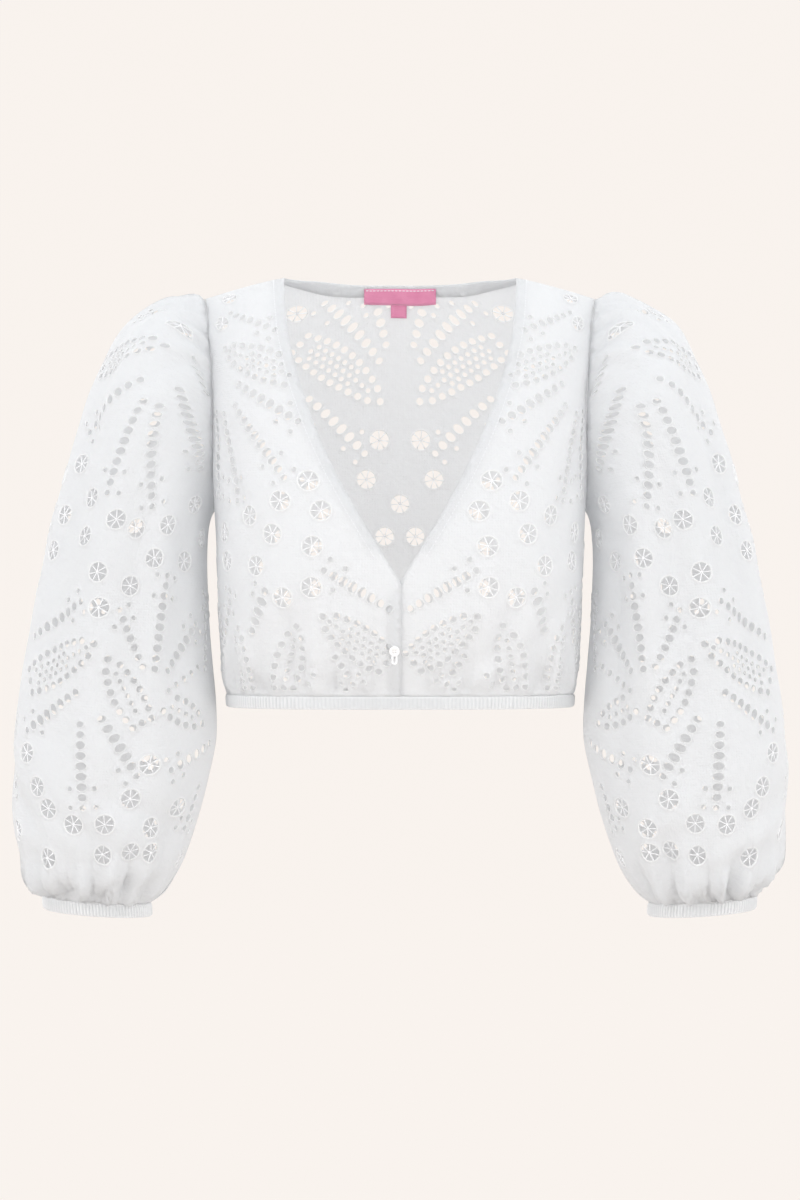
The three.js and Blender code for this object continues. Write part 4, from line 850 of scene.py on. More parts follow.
# %% A wall of cloth: its face, its wrong side and its edges
def open_edges(triangles):
    sides = np.concatenate([triangles[:, [0, 1]], triangles[:, [1, 2]], triangles[:, [2, 0]]])
    low, high = sides.min(1).astype(np.int64), sides.max(1).astype(np.int64)
    _, index, count = np.unique(low * 10_000_000 + high, return_index=True, return_counts=True)
    return sides[index[count == 1]]


def cloth_wall(name, flat, place, flip, top=0.0, thickness=CLOTH_THICKNESS):
    places, triangles, heights, stitched = flat
    if flip:
        triangles = triangles[:, ::-1]
    outer = place(places[:, 0], places[:, 1], top + heights)
    inner = place(places[:, 0], places[:, 1], top - thickness - INNER_STITCH * heights)
    count = len(places)
    rim = open_edges(triangles)
    walls = np.concatenate([
        np.stack([rim[:, 1], rim[:, 0], rim[:, 0] + count], -1),
        np.stack([rim[:, 1], rim[:, 0] + count, rim[:, 1] + count], -1),
    ])
    faces = np.concatenate([triangles, triangles[:, ::-1] + count, walls])
    piece = mesh_object(name, np.concatenate([outer, inner]), faces.tolist())
    piece.data.shade_smooth()
    both = np.concatenate([places, places])
    follow_cloth(piece.data, both, "stitch", np.concatenate([stitched, stitched]))
    print(name, len(faces), "triangles")
    return piece


def flat_area(flat):
    places, triangles = flat[0], flat[1]
    a, b, c = (places[triangles[:, k]] for k in range(3))
    ab, ac = b - a, c - a
    return 0.5 * np.abs(ab[:, 0] * ac[:, 1] - ab[:, 1] * ac[:, 0]).sum()


# %% [markdown]
# Materials start from what the real ones are. The blouse is cotton batiste: a fine plain weave,
# matt, with a soft sheen at grazing light, and so thin that light passes through it. The satin
# stitch is mercerised cotton thread, which is rounder, whiter and a little glossier; its colour on
# the cloth is whiter still, a painted highlight on the raised rims. Their threads are finer than the
# render can show, so the weave is drawn coarser than it is. The pattern follows each piece's own UV
# map, in millimetres of flat cloth, so it runs with the grain.

# %% Small helpers for colours and nodes: a socket is linked, and any other value is set
def linear(hex_colour):
    channels = [int(hex_colour[i : i + 2], 16) / 255 for i in (1, 3, 5)]
    return [c / 12.92 if c <= 0.04045 else ((c + 0.055) / 1.055) ** 2.4 for c in channels] + [1.0]


def feed(tree, shader, sockets):
    for name, value in sockets.items():
        if isinstance(value, bpy.types.NodeSocket):
            tree.links.new(value, shader.inputs[name])
        else:
            shader.inputs[name].default_value = linear(value) if isinstance(value, str) else value


def node(tree, kind, settings, sockets):
    made = tree.nodes.new(kind)
    for name, value in settings.items():
        setattr(made, name, value)
    feed(tree, made, sockets)
    return made


def new_material(name):
    material = bpy.data.materials.new(name)
    material.use_nodes = True
    tree = material.node_tree
    print("material", name)
    return material, tree, tree.nodes["Principled BSDF"]


def cloth_place(tree):
    uv = node(tree, "ShaderNodeUVMap", {"uv_map": "cloth"}, {})
    mapping = node(tree, "ShaderNodeMapping", {}, {"Vector": uv.outputs["UV"], "Scale": (UV_MM,) * 3})
    return mapping.outputs["Vector"]


# %% Cotton batiste with satin stitch
WAVE_UNIT = np.pi / 10   # a wave texture of scale 1 repeats over this length
WEAVE_MM = 2.17          # real threads lie about 0.3 mm apart, too fine to show
STITCH_MM = 0.9
CRINKLE_MM = 6.25
THROUGH_COTTON = 0.5     # share of the light that one face of the thin cloth passes on
MIX_A, MIX_B, MIX_RESULT = 6, 7, 2      # the colour sockets of a Mix node


def let_light_through(tree, surface, share, colour, normal):
    glow = node(tree, "ShaderNodeBsdfTranslucent", {}, {"Normal": normal, "Color": colour})
    shaders = {1: surface.outputs["BSDF"], 2: glow.outputs["BSDF"]}
    both = node(tree, "ShaderNodeMixShader", {}, {"Fac": share, **shaders})
    feed(tree, tree.nodes["Material Output"], {"Surface": both.outputs["Shader"]})


def batiste(colour="#F3F4F5", shade="#EBECEE", stitch_white_and_highlight="#FEFEFE"):
    material, tree, surface = new_material("cotton_batiste")
    place = cloth_place(tree)
    warp, weft = (
        node(tree, "ShaderNodeTexWave", {"bands_direction": way}, {
            "Vector": place, "Scale": WAVE_UNIT / WEAVE_MM, "Distortion": 0.6, "Detail": 1.0,
        }).outputs["Fac"]
        for way in ("X", "Y")
    )
    weave = node(tree, "ShaderNodeMath", {"operation": "MULTIPLY"}, {0: warp, 1: weft}).outputs["Value"]
    crinkle = node(tree, "ShaderNodeTexNoise", {}, {
        "Vector": place, "Scale": 1 / CRINKLE_MM, "Detail": 5.0, "Roughness": 0.6,
    }).outputs["Fac"]
    stitch = node(tree, "ShaderNodeAttribute", {"attribute_name": "stitch"}, {}).outputs["Fac"]
    thread = node(tree, "ShaderNodeTexNoise", {}, {
        "Vector": place, "Scale": 1 / STITCH_MM, "Detail": 2.0,
    }).outputs["Fac"]
    relief = node(tree, "ShaderNodeMix", {"data_type": "FLOAT"}, {
        "Factor": stitch, "A": weave, "B": thread,
    })
    fine = node(tree, "ShaderNodeBump", {}, {
        "Height": relief.outputs["Result"], "Strength": 0.35, "Distance": 0.25 * MM,
    }).outputs["Normal"]
    soft = node(tree, "ShaderNodeBump", {}, {
        "Height": crinkle, "Normal": fine, "Strength": 0.5, "Distance": 2.2 * MM,
    }).outputs["Normal"]
    cloth = node(tree, "ShaderNodeMix", {"data_type": "RGBA"}, {
        "Factor": crinkle, MIX_A: shade, MIX_B: colour,
    }).outputs[MIX_RESULT]
    # The stitches are painted whiter than the cloth: partly the whiter thread, partly a painted
    # highlight on their raised rims
    tint = node(tree, "ShaderNodeMix", {"data_type": "RGBA"}, {
        "Factor": stitch, MIX_A: cloth, MIX_B: stitch_white_and_highlight,
    }).outputs[MIX_RESULT]
    feed(tree, surface, {
        "Base Color": tint, "Normal": soft, "Roughness": 0.82, "Sheen Weight": 0.25,
        "Sheen Roughness": 0.5, "Specular IOR Level": 0.3,
    })
    let_light_through(tree, surface, THROUGH_COTTON, colour, soft)
    return material


COTTON = batiste()

# %% [markdown]
# Now the cloth pieces. Each is charted, triangulated, laid on its form and given its cotton.

# %% Make the two fronts, the back and the four sleeve halves
def give(piece, material, node_name):
    piece.data.materials.append(material)
    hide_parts(node_name)
    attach(piece, "root")
    return piece


def declare(piece, flat, outline):
    flat_area(flat) * MM * MM


CLOTHS = {
    "front_left": (front_left_outline(), FRONT_CHART, [1], on_body("front", underlap_inset), True),
    "front_right": (front_right_outline(), FRONT_CHART, [-1], on_body("front"), True),
    "back": (back_outline(), BACK_CHART, [1, -1], on_body("back"), False),
}
made = {}
charts = {}
for name, (outline, chart, signs, place, flip) in CLOTHS.items():
    charts[name] = place_eyelets(chart, signs, outline)
    flat = flat_mesh(outline, charts[name])
    made[name] = (cloth_wall(name + "_cloth", flat, place, flip), flat, outline, place)
for half, sign in (("front", 1), ("back", -1)):
    outline = half_sleeve_outline(sign)
    chart = place_eyelets(SLEEVE_CHART, [sign], outline)
    flat = flat_mesh(outline, chart)
    for side in ("right", "left"):
        name, place = f"sleeve_{side}_{half}", on_sleeve(side)
        charts[name] = chart
        made[name] = (cloth_wall(name + "_cloth", flat, place, side == "left"), flat, outline, place)
print("eyelets:", {name: len(chart) for name, chart in charts.items()})

# %% [markdown]
# Inside each wheel, seven threads run from the rim to a small woven hub. One spoke is a short
# ribbon of thread with a flat back, repeated round the wheel in flat coordinates and then laid on
# the form with the cloth.

# %% Spokes and hubs of the wheels
SPOKES = 7
SPOKE_WIDTH = 0.62
HUB_RADIUS = 0.95
HUB_SIDES = 8
THREAD_LIFT = (-0.1, -0.75)      # front and back of a spoke, below the cloth's face
HUB_LIFT = (0.15, -0.85)
SPOKE_TURN = 0.08                # how unevenly the spokes are spread
FIRST_SEED = 20


def wheel_threads(name, chart, place, turn_seed):
    chance = np.random.default_rng(turn_seed)
    places, lifts, faces = [], [], []
    for eyelet in chart[chart[:, 5] > 0]:
        start_turn = chance.uniform(0, np.pi)
        for number in range(SPOKES):
            angle = start_turn + 2 * np.pi * number / SPOKES + chance.uniform(-SPOKE_TURN, SPOKE_TURN)
            ahead = np.array([np.cos(angle), np.sin(angle)])
            beside = np.array([-ahead[1], ahead[0]]) * SPOKE_WIDTH / 2
            faces += ring_faces(len(places), 4, 3) + end_faces(len(places), 4, 3)
            # A spoke starts in the hub, is thinnest halfway and spreads where it meets the rim
            sections = ((0.6 * HUB_RADIUS, 1.0), (0.55 * eyelet[3], 0.8), (eyelet[3] + 0.5, 1.6))
            for distance, wide in sections:
                for way, lift in ((1, 0), (-1, 0), (-1, 1), (1, 1)):
                    places.append(eyelet[:2] + ahead * distance + way * wide * beside)
                    lifts.append(THREAD_LIFT[lift])
        faces += ring_faces(len(places), HUB_SIDES, 2) + end_faces(len(places), HUB_SIDES, 2)
        for lift in HUB_LIFT:
            for k in range(HUB_SIDES):
                angle = 2 * np.pi * k / HUB_SIDES
                places.append(eyelet[:2] + HUB_RADIUS * np.array([np.cos(angle), np.sin(angle)]))
                lifts.append(lift)
    places = np.array(places)
    points = place(places[:, 0], places[:, 1], np.array(lifts))
    piece = mesh_object(name, points, faces)
    turn_faces_out(piece)
    piece.data.shade_smooth()
    print(name, len(faces), "faces")
    return piece


# %% Mercerised thread
# Mercerised cotton is swollen in lye, so its thread is round and bright, with a slight gloss
TWIST_MM = 0.714


def thread_cotton():
    material, tree, surface = new_material("mercerised_thread")
    place = node(tree, "ShaderNodeTexCoord", {}, {}).outputs["Object"]
    twist = node(tree, "ShaderNodeTexNoise", {}, {
        "Vector": place, "Scale": 1 / (TWIST_MM * MM), "Detail": 2.0,
    }).outputs["Fac"]
    bump = node(tree, "ShaderNodeBump", {}, {"Height": twist, "Strength": 0.4, "Distance": 0.2 * MM})
    feed(tree, surface, {
        "Base Color": "#F8F9FB", "Normal": bump.outputs["Normal"], "Roughness": 0.6, "Sheen Weight": 0.2,
    })
    return material


THREAD = thread_cotton()


# %% Sew on the spokes, and finish the cloth pieces
def sew_on(piece):
    piece.data.materials.append(THREAD)
    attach(piece, "root")


for number, (name, (piece, flat, outline, place)) in enumerate(made.items()):
    threads = wheel_threads(name + "_wheels", charts[name], place, FIRST_SEED + number)
    sew_on(threads)
    give(piece, COTTON, name)
    declare(piece, flat, outline)

# %% [markdown]
# The hem and the cuffs are casings drawn up on elastic: the cloth stands in many small ribs, and
# each rib is a little different from the next. The ring is built as a strip of sections, with a
# rib's round profile running across it. The ribs are deep at the sides, where the elastic pulls
# freely, and shallow in the middle of the front.

# %% Gathered bands: how far down, how far out, and how much of the ribs each row shows
BAND_INSIDE = -2.24         # the casing's inner face, from the seam line
RIB_DEPTH = 1.4
RIB_WANDER = 0.28           # how unevenly the ribs are spaced
RIB_HEIGHT = {"usual": 0.72, "change": 0.28, "changes": 5}
STEPS_PER_RIB = 6
HEM_RIBS, CUFF_RIBS = 300, 99       # a rib for each 2.75 mm
BAND_ROW_MM = 2.2
BAND_ROWS = [
    (-0.03, 0.25, 0.1), (0.05, 0.45, 0.6), (0.2, 0.55, 1.0), (0.45, 0.62, 1.0), (0.7, 0.55, 1.0),
    (0.86, 0.45, 0.9), (0.95, 0.25, 0.5), (1.0, -0.15, 0.15),
]


def rib_shares(ribs, seed):
    chance = np.random.default_rng(seed)
    steps = STEPS_PER_RIB * ribs
    slow = np.sin(2 * np.pi * np.arange(steps) / steps * RIB_HEIGHT["changes"] + chance.uniform(0, 6))
    wander = np.cumsum(chance.normal(0, RIB_WANDER, steps))
    wander -= np.linspace(0, wander[-1], steps)
    phase = 2 * np.pi * ribs * np.arange(steps) / steps + 0.5 * wander
    return np.abs(np.cos(phase / 2)) * (RIB_HEIGHT["usual"] + RIB_HEIGHT["change"] * slow)


def band(name, section_point, ribs, flip):
    steps = len(ribs)
    points, rib_shade_mix = [], []
    for share, swell, shown in BAND_ROWS:
        points.append(section_point(share, swell + RIB_DEPTH * ribs * shown))
        # Painted shade between the ribs: the lower this share, the darker the cloth is painted
        rib_shade_mix.append(1 - (1 - ribs) * shown)
    for share in (1.0, 0.5, 0.0):
        points.append(section_point(share, np.full(steps, BAND_INSIDE)))
        rib_shade_mix.append(np.ones(steps))
    faces = ring_faces(0, steps, len(points), closed=True)
    if flip:
        faces = [(a, d, c, b) for a, b, c, d in faces]
    piece = mesh_object(name, np.concatenate(points), faces)
    piece.data.shade_smooth()
    girth = np.linalg.norm(np.roll(points[3], -1, axis=0) - points[3], axis=1).sum()
    row, step = np.divmod(np.arange(steps * len(points)), steps)
    flat = np.stack([step * girth / steps, row * BAND_ROW_MM], -1)
    follow_cloth(piece.data, flat, "rib", np.concatenate(rib_shade_mix))
    print(name, 2 * len(faces), "triangles,", round(float(girth)), "mm round")
    return piece, girth


# %% Where the sections of the hem and of a cuff stand
def hem_section(steps):
    around = 4 * SIDE * np.arange(steps) / steps
    in_front = (around < SIDE) | (around > 3 * SIDE)
    across = np.where(in_front, around - np.where(around > 3 * SIDE, 4 * SIDE, 0), 2 * SIDE - around)

    def at(share, lift):
        down = np.full(steps, HEM_CLOTH + HALF_GAP + share * HEM_BAND_HEIGHT)
        ends = [
            lifted(lambda u, v, face=face: body_form(face, u, v), across, down, lift, way)
            for face, way in (("front", -1.0), ("back", 1.0))
        ]
        return np.where(in_front[:, None], ends[0], ends[1])

    return at


def cuff_section(side, steps):
    mirror = -1.0 if side == "right" else 1.0
    angle = 2 * np.pi * np.arange(steps) / steps
    seam = plain_ring_point(angle, np.full(steps, float(LAST_RING)))
    ends = plain_ring_point(np.array([np.pi / 2, -np.pi / 2]), np.array([LAST_RING, LAST_RING], float))
    outward = seam - ends.mean(0)
    outward /= np.linalg.norm(outward, axis=1, keepdims=True)

    def at(share, lift):
        down = HALF_GAP + share * CUFF_HEIGHT
        point = seam + outward * lift[:, None]
        point = point + np.array([CUFF_TILT[0] * down, 0, CUFF_TILT[1] * down])
        return point * np.array([mirror, 1, 1])

    return at


# %% The casing's cotton
# It is the same cotton, drawn into ribs. The shade deep between them is painted into its colour,
# and two layers of cloth with the elastic pass on less light than one.
THROUGH_CASING = 0.3
PLEAT_MM = 1.11


def casing_cotton(colour="#F5F6F7", painted_rib_shade="#D6D8DA"):
    material, tree, surface = new_material("gathered_casing")
    pleats = node(tree, "ShaderNodeTexNoise", {}, {
        "Vector": cloth_place(tree), "Scale": 1 / PLEAT_MM, "Detail": 3.0,
    }).outputs["Fac"]
    bump = node(tree, "ShaderNodeBump", {}, {"Height": pleats, "Strength": 0.5, "Distance": 0.5 * MM})
    rib = node(tree, "ShaderNodeAttribute", {"attribute_name": "rib"}, {}).outputs["Fac"]
    # The colour is darkened between the ribs: this is painted shade
    tint = node(tree, "ShaderNodeMix", {"data_type": "RGBA"}, {
        "Factor": rib, MIX_A: painted_rib_shade, MIX_B: colour,
    }).outputs[MIX_RESULT]
    feed(tree, surface, {
        "Base Color": tint, "Normal": bump.outputs["Normal"], "Roughness": 0.85,
        "Sheen Weight": 0.2, "Specular IOR Level": 0.3,
    })
    let_light_through(tree, surface, THROUGH_CASING, colour, bump.outputs["Normal"])
    return material


CASING = casing_cotton()


# %% Draw up the hem and the cuffs
HEM_RIB_STRENGTH = {"in_front": 0.3, "full_at": 0.4}      # of the way from front to back
RIB_SEEDS = {"hem": 31, "right": 32, "left": 33}


def hem_strength(steps):
    around = np.arange(steps) / steps * 4
    from_front = np.minimum(around, 4 - around) / 2
    least = HEM_RIB_STRENGTH["in_front"]
    return least + (1 - least) * smooth(from_front / HEM_RIB_STRENGTH["full_at"])


def declare_band(piece, girth, node_name):
    give(piece, CASING, node_name)


hem_ribs = rib_shares(HEM_RIBS, RIB_SEEDS["hem"])
hem_ribs *= hem_strength(len(hem_ribs))
hem, girth = band("hem_casing", hem_section(len(hem_ribs)), hem_ribs, False)
declare_band(hem, girth, "hem_band")
for side in ("right", "left"):
    cuff_ribs = rib_shares(CUFF_RIBS, RIB_SEEDS[side])
    section = cuff_section(side, len(cuff_ribs))
    cuff, girth = band(f"cuff_casing_{side}", section, cuff_ribs, side == "left")
    declare_band(cuff, girth, f"cuff_band_{side}")

# %% [markdown]
# A narrow plain strip faces the neck edge on the inside. It keeps the eyelets away from the edge
# and gives the V its clean line. It is cut on the same curve and lies just under the cloth.

# %% Neck facings
FACING_TOP = -(CLOTH_THICKNESS + 0.75)
FACING_THICKNESS = 0.5
FACING_EDGE = 0.5           # its turned edge lies this far inside the neckline
FACING_STEPS = 58           # of the neckline's 62, so it ends above the tip of the V


def strip_flat(edge, far):
    return flat_mesh(np.concatenate([edge, far[::-1]]), NO_EYELETS)


def front_facing(side, sign, inset):
    down = np.maximum(1.0, V_CLOTH * np.arange(FACING_STEPS) / NECK_STEPS)
    edge = np.stack([neckline_across(down) + FACING_EDGE, down], -1)
    far = np.stack([neckline_across(down) + FACING_WIDTH, down + 2], -1)
    flat = strip_flat(edge, far)
    places = flat[0] * [sign, 1]
    triangles = flat[1] if sign > 0 else flat[1][:, ::-1]
    laid = (places, triangles, flat[2], flat[3])
    place = on_body("front", inset)
    piece = cloth_wall(f"neck_facing_{side}_strip", laid, place, True, FACING_TOP, FACING_THICKNESS)
    give(piece, COTTON, f"neck_facing_{side}")


def back_facing():
    across = NECK_ACROSS * np.linspace(-1, 1, 61)
    edge = np.stack([across, np.maximum(1.0, back_neck_down(across) + FACING_EDGE)], -1)
    share = np.abs(across) / NECK_ACROSS
    low = back_neck_down(across) + FACING_WIDTH * np.sqrt(1 - np.minimum(share, 1) ** 4)
    far = np.stack([across * (NECK_ACROSS + FACING_WIDTH) / NECK_ACROSS, np.maximum(2.0, low)], -1)
    flat = strip_flat(edge, far)
    piece = cloth_wall("neck_facing_back_strip", flat, on_body("back"), False, FACING_TOP,
                       FACING_THICKNESS)
    give(piece, COTTON, "neck_facing_back")


front_facing("right", -1, None)
front_facing("left", 1, underlap_inset)
back_facing()

# %% [markdown]
# The label is a strip of woven satin: its ends are folded under, and a row of stitches holds its
# upper edge. The small tab hangs out from under it. Both are left bare. They are flat strips laid
# on the inside of the back, so they follow the neck's curve.

# %% Woven satin
# Satin of polyester is woven with long floats, which gives it fine ribs and a soft gloss
SATIN_RIB_MM = 1.58         # the real weft is about 0.15 mm, too fine to show
SATIN_CLOUD_MM = 8.33


def woven_satin():
    material, tree, surface = new_material("woven_satin")
    place = cloth_place(tree)
    weft = node(tree, "ShaderNodeTexWave", {"bands_direction": "Y"}, {
        "Vector": place, "Scale": WAVE_UNIT / SATIN_RIB_MM, "Distortion": 1.2, "Detail": 2.0,
    }).outputs["Fac"]
    cloud = node(tree, "ShaderNodeTexNoise", {}, {
        "Vector": place, "Scale": 1 / SATIN_CLOUD_MM, "Detail": 2.0,
    }).outputs["Fac"]
    bump = node(tree, "ShaderNodeBump", {}, {"Height": weft, "Strength": 0.5, "Distance": 0.2 * MM})
    tint = node(tree, "ShaderNodeMix", {"data_type": "RGBA"}, {
        "Factor": cloud, MIX_A: "#DC7CA5", MIX_B: "#EE9ABD",
    }).outputs[MIX_RESULT]
    feed(tree, surface, {
        "Base Color": tint, "Normal": bump.outputs["Normal"], "Roughness": 0.45, "Sheen Weight": 0.35,
    })
    return material


SATIN = woven_satin()

# %% The label and its tab
LABEL = {"width": 56, "height": 14, "drop": 1.5}
TAB = {"width": 12.4, "height": 10.5, "across": -1, "tucked": 0.5}
LABEL_TOP = FACING_TOP - FACING_THICKNESS - 0.9
LABEL_THICKNESS = 0.55
TAB_THICKNESS = 0.35
FOLD = {"width": 1.6, "height": 0.35, "soft": 0.8}
LABEL_STEP = 2.0


def strip_on_back(name, node_name, x_range, y_range, top, thickness):
    (left, right), (begin, end) = x_range, y_range
    corners = [(left, begin), (right, begin), (right, end), (left, end)]
    sides = zip(corners, corners[1:] + corners[:1])
    outline = np.concatenate([segment(a, b, LABEL_STEP) for a, b in sides])
    flat = flat_mesh(outline, NO_EYELETS, LABEL_STEP)
    across, down = flat[0][:, 0], flat[0][:, 1]
    from_end = np.minimum(across - left, right - across)
    folds = FOLD["height"] * (1 - smooth((from_end - FOLD["width"]) / FOLD["soft"]))
    laid = (np.stack([across, down + back_neck_down(across)], -1), flat[1], -folds, flat[3])
    piece = cloth_wall(name, laid, on_body("back"), False, top, thickness)
    give(piece, SATIN, node_name)
    declare(piece, flat, outline)


label_x = (-LABEL["width"] / 2, LABEL["width"] / 2)
label_y = (LABEL["drop"], LABEL["drop"] + LABEL["height"])
strip_on_back("label_strip", "woven_label", label_x, label_y, LABEL_TOP, LABEL_THICKNESS)
tab_x = (TAB["across"] - TAB["width"] / 2, TAB["across"] + TAB["width"] / 2)
tab_y = (label_y[1] - TAB["tucked"], label_y[1] + TAB["height"])
strip_on_back("tab_strip", "size_tab", tab_x, tab_y, LABEL_TOP + 0.5, TAB_THICKNESS)

# %% [markdown]
# Seams are sewn by machine, so their stitches are all alike: a short thread that dips into the
# cloth at both ends. A row of them follows the facing's edge along the neck, and another holds the
# label. Each stitch is a small lozenge, laid on the form with the cloth.

# %% Rows of stitches
STITCH = {"pitch": 3.2, "length": 2.3, "width": 0.5, "height": 0.3, "sunk": 0.1}
# Along, width and height of a stitch's sections, as shares of its length, width and height
STITCH_SECTIONS = ((-0.5, 0.5, 0.2), (-0.2, 1.0, 1.0), (0.2, 1.0, 1.0), (0.5, 0.5, 0.2))
STITCH_FROM_NECK = 7.6
LABEL_STITCH = {"pitch": 2.9, "from_top": 1.3, "from_end": 1}


def stitch_row(path, pitch):
    steps = np.linalg.norm(np.diff(path, axis=0), axis=1)
    along = np.r_[0, np.cumsum(steps)]
    centres = np.arange(pitch / 2, along[-1], pitch)
    middles = np.stack([np.interp(centres, along, path[:, k]) for k in (0, 1)], -1)
    ends = np.stack([np.interp(centres + 0.5, along, path[:, k]) for k in (0, 1)], -1)
    ahead = (ends - middles) / np.maximum(np.linalg.norm(ends - middles, axis=1, keepdims=True), 1e-9)
    return zip(middles, ahead)


def stitches(name, row, place, outward, base_lift):
    places, lifts, faces = [], [], []
    for middle, way in row:
        beside = np.array([-way[1], way[0]]) * STITCH["width"] / 2
        faces += ring_faces(len(places), 4, 4) + end_faces(len(places), 4, 4)
        for along, wide, high in STITCH_SECTIONS:
            spot = middle + way * along * STITCH["length"]
            for side, up in ((1, 1), (-1, 1), (-1, 0), (1, 0)):
                places.append(spot + beside * wide * side)
                lifts.append(base_lift + outward * (STITCH["height"] * high if up else -STITCH["sunk"]))
    places = np.array(places)
    piece = mesh_object(name, place(places[:, 0], places[:, 1], np.array(lifts)), faces)
    turn_faces_out(piece)
    sew_on(piece)
    print(name, len(faces), "faces")


for side, sign, inset in (("right", -1, None), ("left", 1, underlap_inset)):
    down = V_CLOTH * np.linspace(0.01, 0.93, 60)
    line = np.stack([sign * (neckline_across(down) + STITCH_FROM_NECK), down + 1], -1)
    row = stitch_row(line, STITCH["pitch"])
    stitches(f"neck_topstitch_{side}", row, on_body("front", inset), 1, 0.05)
across = NECK_ACROSS * np.linspace(-0.97, 0.97, 90)
line = np.stack([across, back_neck_down(across) + STITCH_FROM_NECK], -1)
stitches("neck_topstitch_back", stitch_row(line, STITCH["pitch"]), on_body("back"), 1, 0.05)
across = np.linspace(label_x[0] + LABEL_STITCH["from_end"], label_x[1] - LABEL_STITCH["from_end"], 40)
line = np.stack([across, back_neck_down(across) + LABEL["drop"] + LABEL_STITCH["from_top"]], -1)
row = stitch_row(line, LABEL_STITCH["pitch"])
stitches("label_stitches", row, on_body("back"), -1, LABEL_TOP - LABEL_THICKNESS - 0.05)

# %% [markdown]
# The front closes with one small pearl button in a worked buttonhole. A buttonhole is edged all
# round with dense stitches, so it is a raised rim of thread round a narrow slot. The button is
# turned on a lathe: a rim, a shallow dish and four holes, with the sewing thread across them.

# %% The worked buttonhole
BUTTON = {"radius": 4.2, "thickness": 1.6, "across": -4.5, "down": 353, "lift": 0.55}
BUTTONHOLE = {"down": 357, "half_length": 7.4, "half_width": 1.5, "rim": 0.8, "height": 0.45}
BUTTONHOLE_SIDES = 64
STITCH_SWELL = 0.18          # every second stitch of the rim reaches this much further out
# Out and up of the rim's sections, as shares of its width and height
RIM_SECTIONS = ((-1, 0.0), (-0.5, 0.8), (0.2, 1.0), (0.8, 0.7), (1.2, 0.0), (1.2, -1.0), (-1, -1.0))


def buttonhole():
    straight = BUTTONHOLE["half_length"] - BUTTONHOLE["half_width"]
    angle = 2 * np.pi * np.arange(BUTTONHOLE_SIDES) / BUTTONHOLE_SIDES
    wave = 1 + STITCH_SWELL * (np.arange(BUTTONHOLE_SIDES) % 2)
    flat, lifts = [], []
    for out, high in RIM_SECTIONS:
        radius = BUTTONHOLE["half_width"] + out * BUTTONHOLE["rim"] * wave
        x = BUTTON["across"] + radius * np.cos(angle)
        y = BUTTONHOLE["down"] + radius * np.sin(angle) + straight * np.sign(np.sin(angle))
        flat.append(np.stack([x, y], -1))
        lifts.append(np.full(BUTTONHOLE_SIDES, high * BUTTONHOLE["height"]))
    flat = np.concatenate(flat)
    points = on_body("front")(flat[:, 0], flat[:, 1], np.concatenate(lifts))
    faces = ring_faces(0, BUTTONHOLE_SIDES, len(RIM_SECTIONS), closed=True)
    piece = mesh_object("buttonhole_rim", points, faces)
    turn_faces_out(piece)
    piece.data.shade_smooth()
    sew_on(piece)
    print("buttonhole_rim", len(faces), "faces")


buttonhole()

# %% Pearl polyester
# Pearl buttons are cast from polyester with pearl pigment: a hard gloss over slow, milky clouds
PEARL_CLOUD_MM = 2.38


def pearl():
    material, tree, surface = new_material("pearl_polyester")
    place = node(tree, "ShaderNodeTexCoord", {}, {}).outputs["Object"]
    cloud = node(tree, "ShaderNodeTexNoise", {}, {
        "Vector": place, "Scale": 1 / (PEARL_CLOUD_MM * MM), "Detail": 3.0, "Distortion": 1.5,
    }).outputs["Fac"]
    tint = node(tree, "ShaderNodeMix", {"data_type": "RGBA"}, {
        "Factor": cloud, MIX_A: "#ECEBEA", MIX_B: "#FBFBFC",
    }).outputs[MIX_RESULT]
    feed(tree, surface, {"Base Color": tint, "Roughness": 0.22, "Coat Weight": 0.4})
    return material


# %% Turn the button on its lathe and drill it
TURNING = ((0.9, 0), (0.5, -0.45), (0.5, -0.1))     # the cuts on its face: inwards and deep
WORN_RIM = 0.35
HOLES = {"radius": 0.5, "at": 1.1, "sides": 16}


def select_none_in_edit_mode(kind):
    bpy.ops.object.mode_set(mode="EDIT")
    bpy.ops.mesh.select_mode(type=kind)
    bpy.ops.mesh.select_all(action="DESELECT")
    bpy.ops.object.mode_set(mode="OBJECT")


def round_off(piece, name, width, segments):
    bevel = piece.modifiers.new(name, "BEVEL")
    bevel.width = width
    bevel.segments = segments
    bpy.ops.object.modifier_apply(modifier=bevel.name)


def pearl_button():
    bpy.ops.object.select_all(action="DESELECT")
    bpy.ops.mesh.primitive_cylinder_add(
        vertices=48, radius=BUTTON["radius"] * MM, depth=BUTTON["thickness"] * MM)
    piece = bpy.context.object
    piece.name = "pearl_button"
    select_none_in_edit_mode("FACE")
    for face in piece.data.polygons:
        face.select = face.normal.z > 0.9
    bpy.ops.object.mode_set(mode="EDIT")
    for inwards, deep in TURNING:
        bpy.ops.mesh.inset(thickness=inwards * MM, depth=deep * MM)
    bpy.ops.object.mode_set(mode="OBJECT")
    round_off(piece, "worn_rim", WORN_RIM * MM, 3)
    for x, y in ((1, 1), (-1, 1), (-1, -1), (1, -1)):
        bpy.ops.object.select_all(action="DESELECT")
        centre = (x * HOLES["at"] * MM, y * HOLES["at"] * MM, 0)
        bpy.ops.mesh.primitive_cylinder_add(
            vertices=HOLES["sides"], radius=HOLES["radius"] * MM, depth=10 * MM, location=centre)
        drill = bpy.context.object
        only(piece)
        hole = piece.modifiers.new("hole", "BOOLEAN")
        hole.object = drill
        hole.operation = "DIFFERENCE"
        bpy.ops.object.modifier_apply(modifier=hole.name)
        bpy.data.objects.remove(drill)
    return piece


# %% The thread across its holes, and its seat on the front
THREAD_BAR = {"reach": 1.9, "width": 0.7, "height": 0.5, "sunk": 0.35, "round": 0.24}


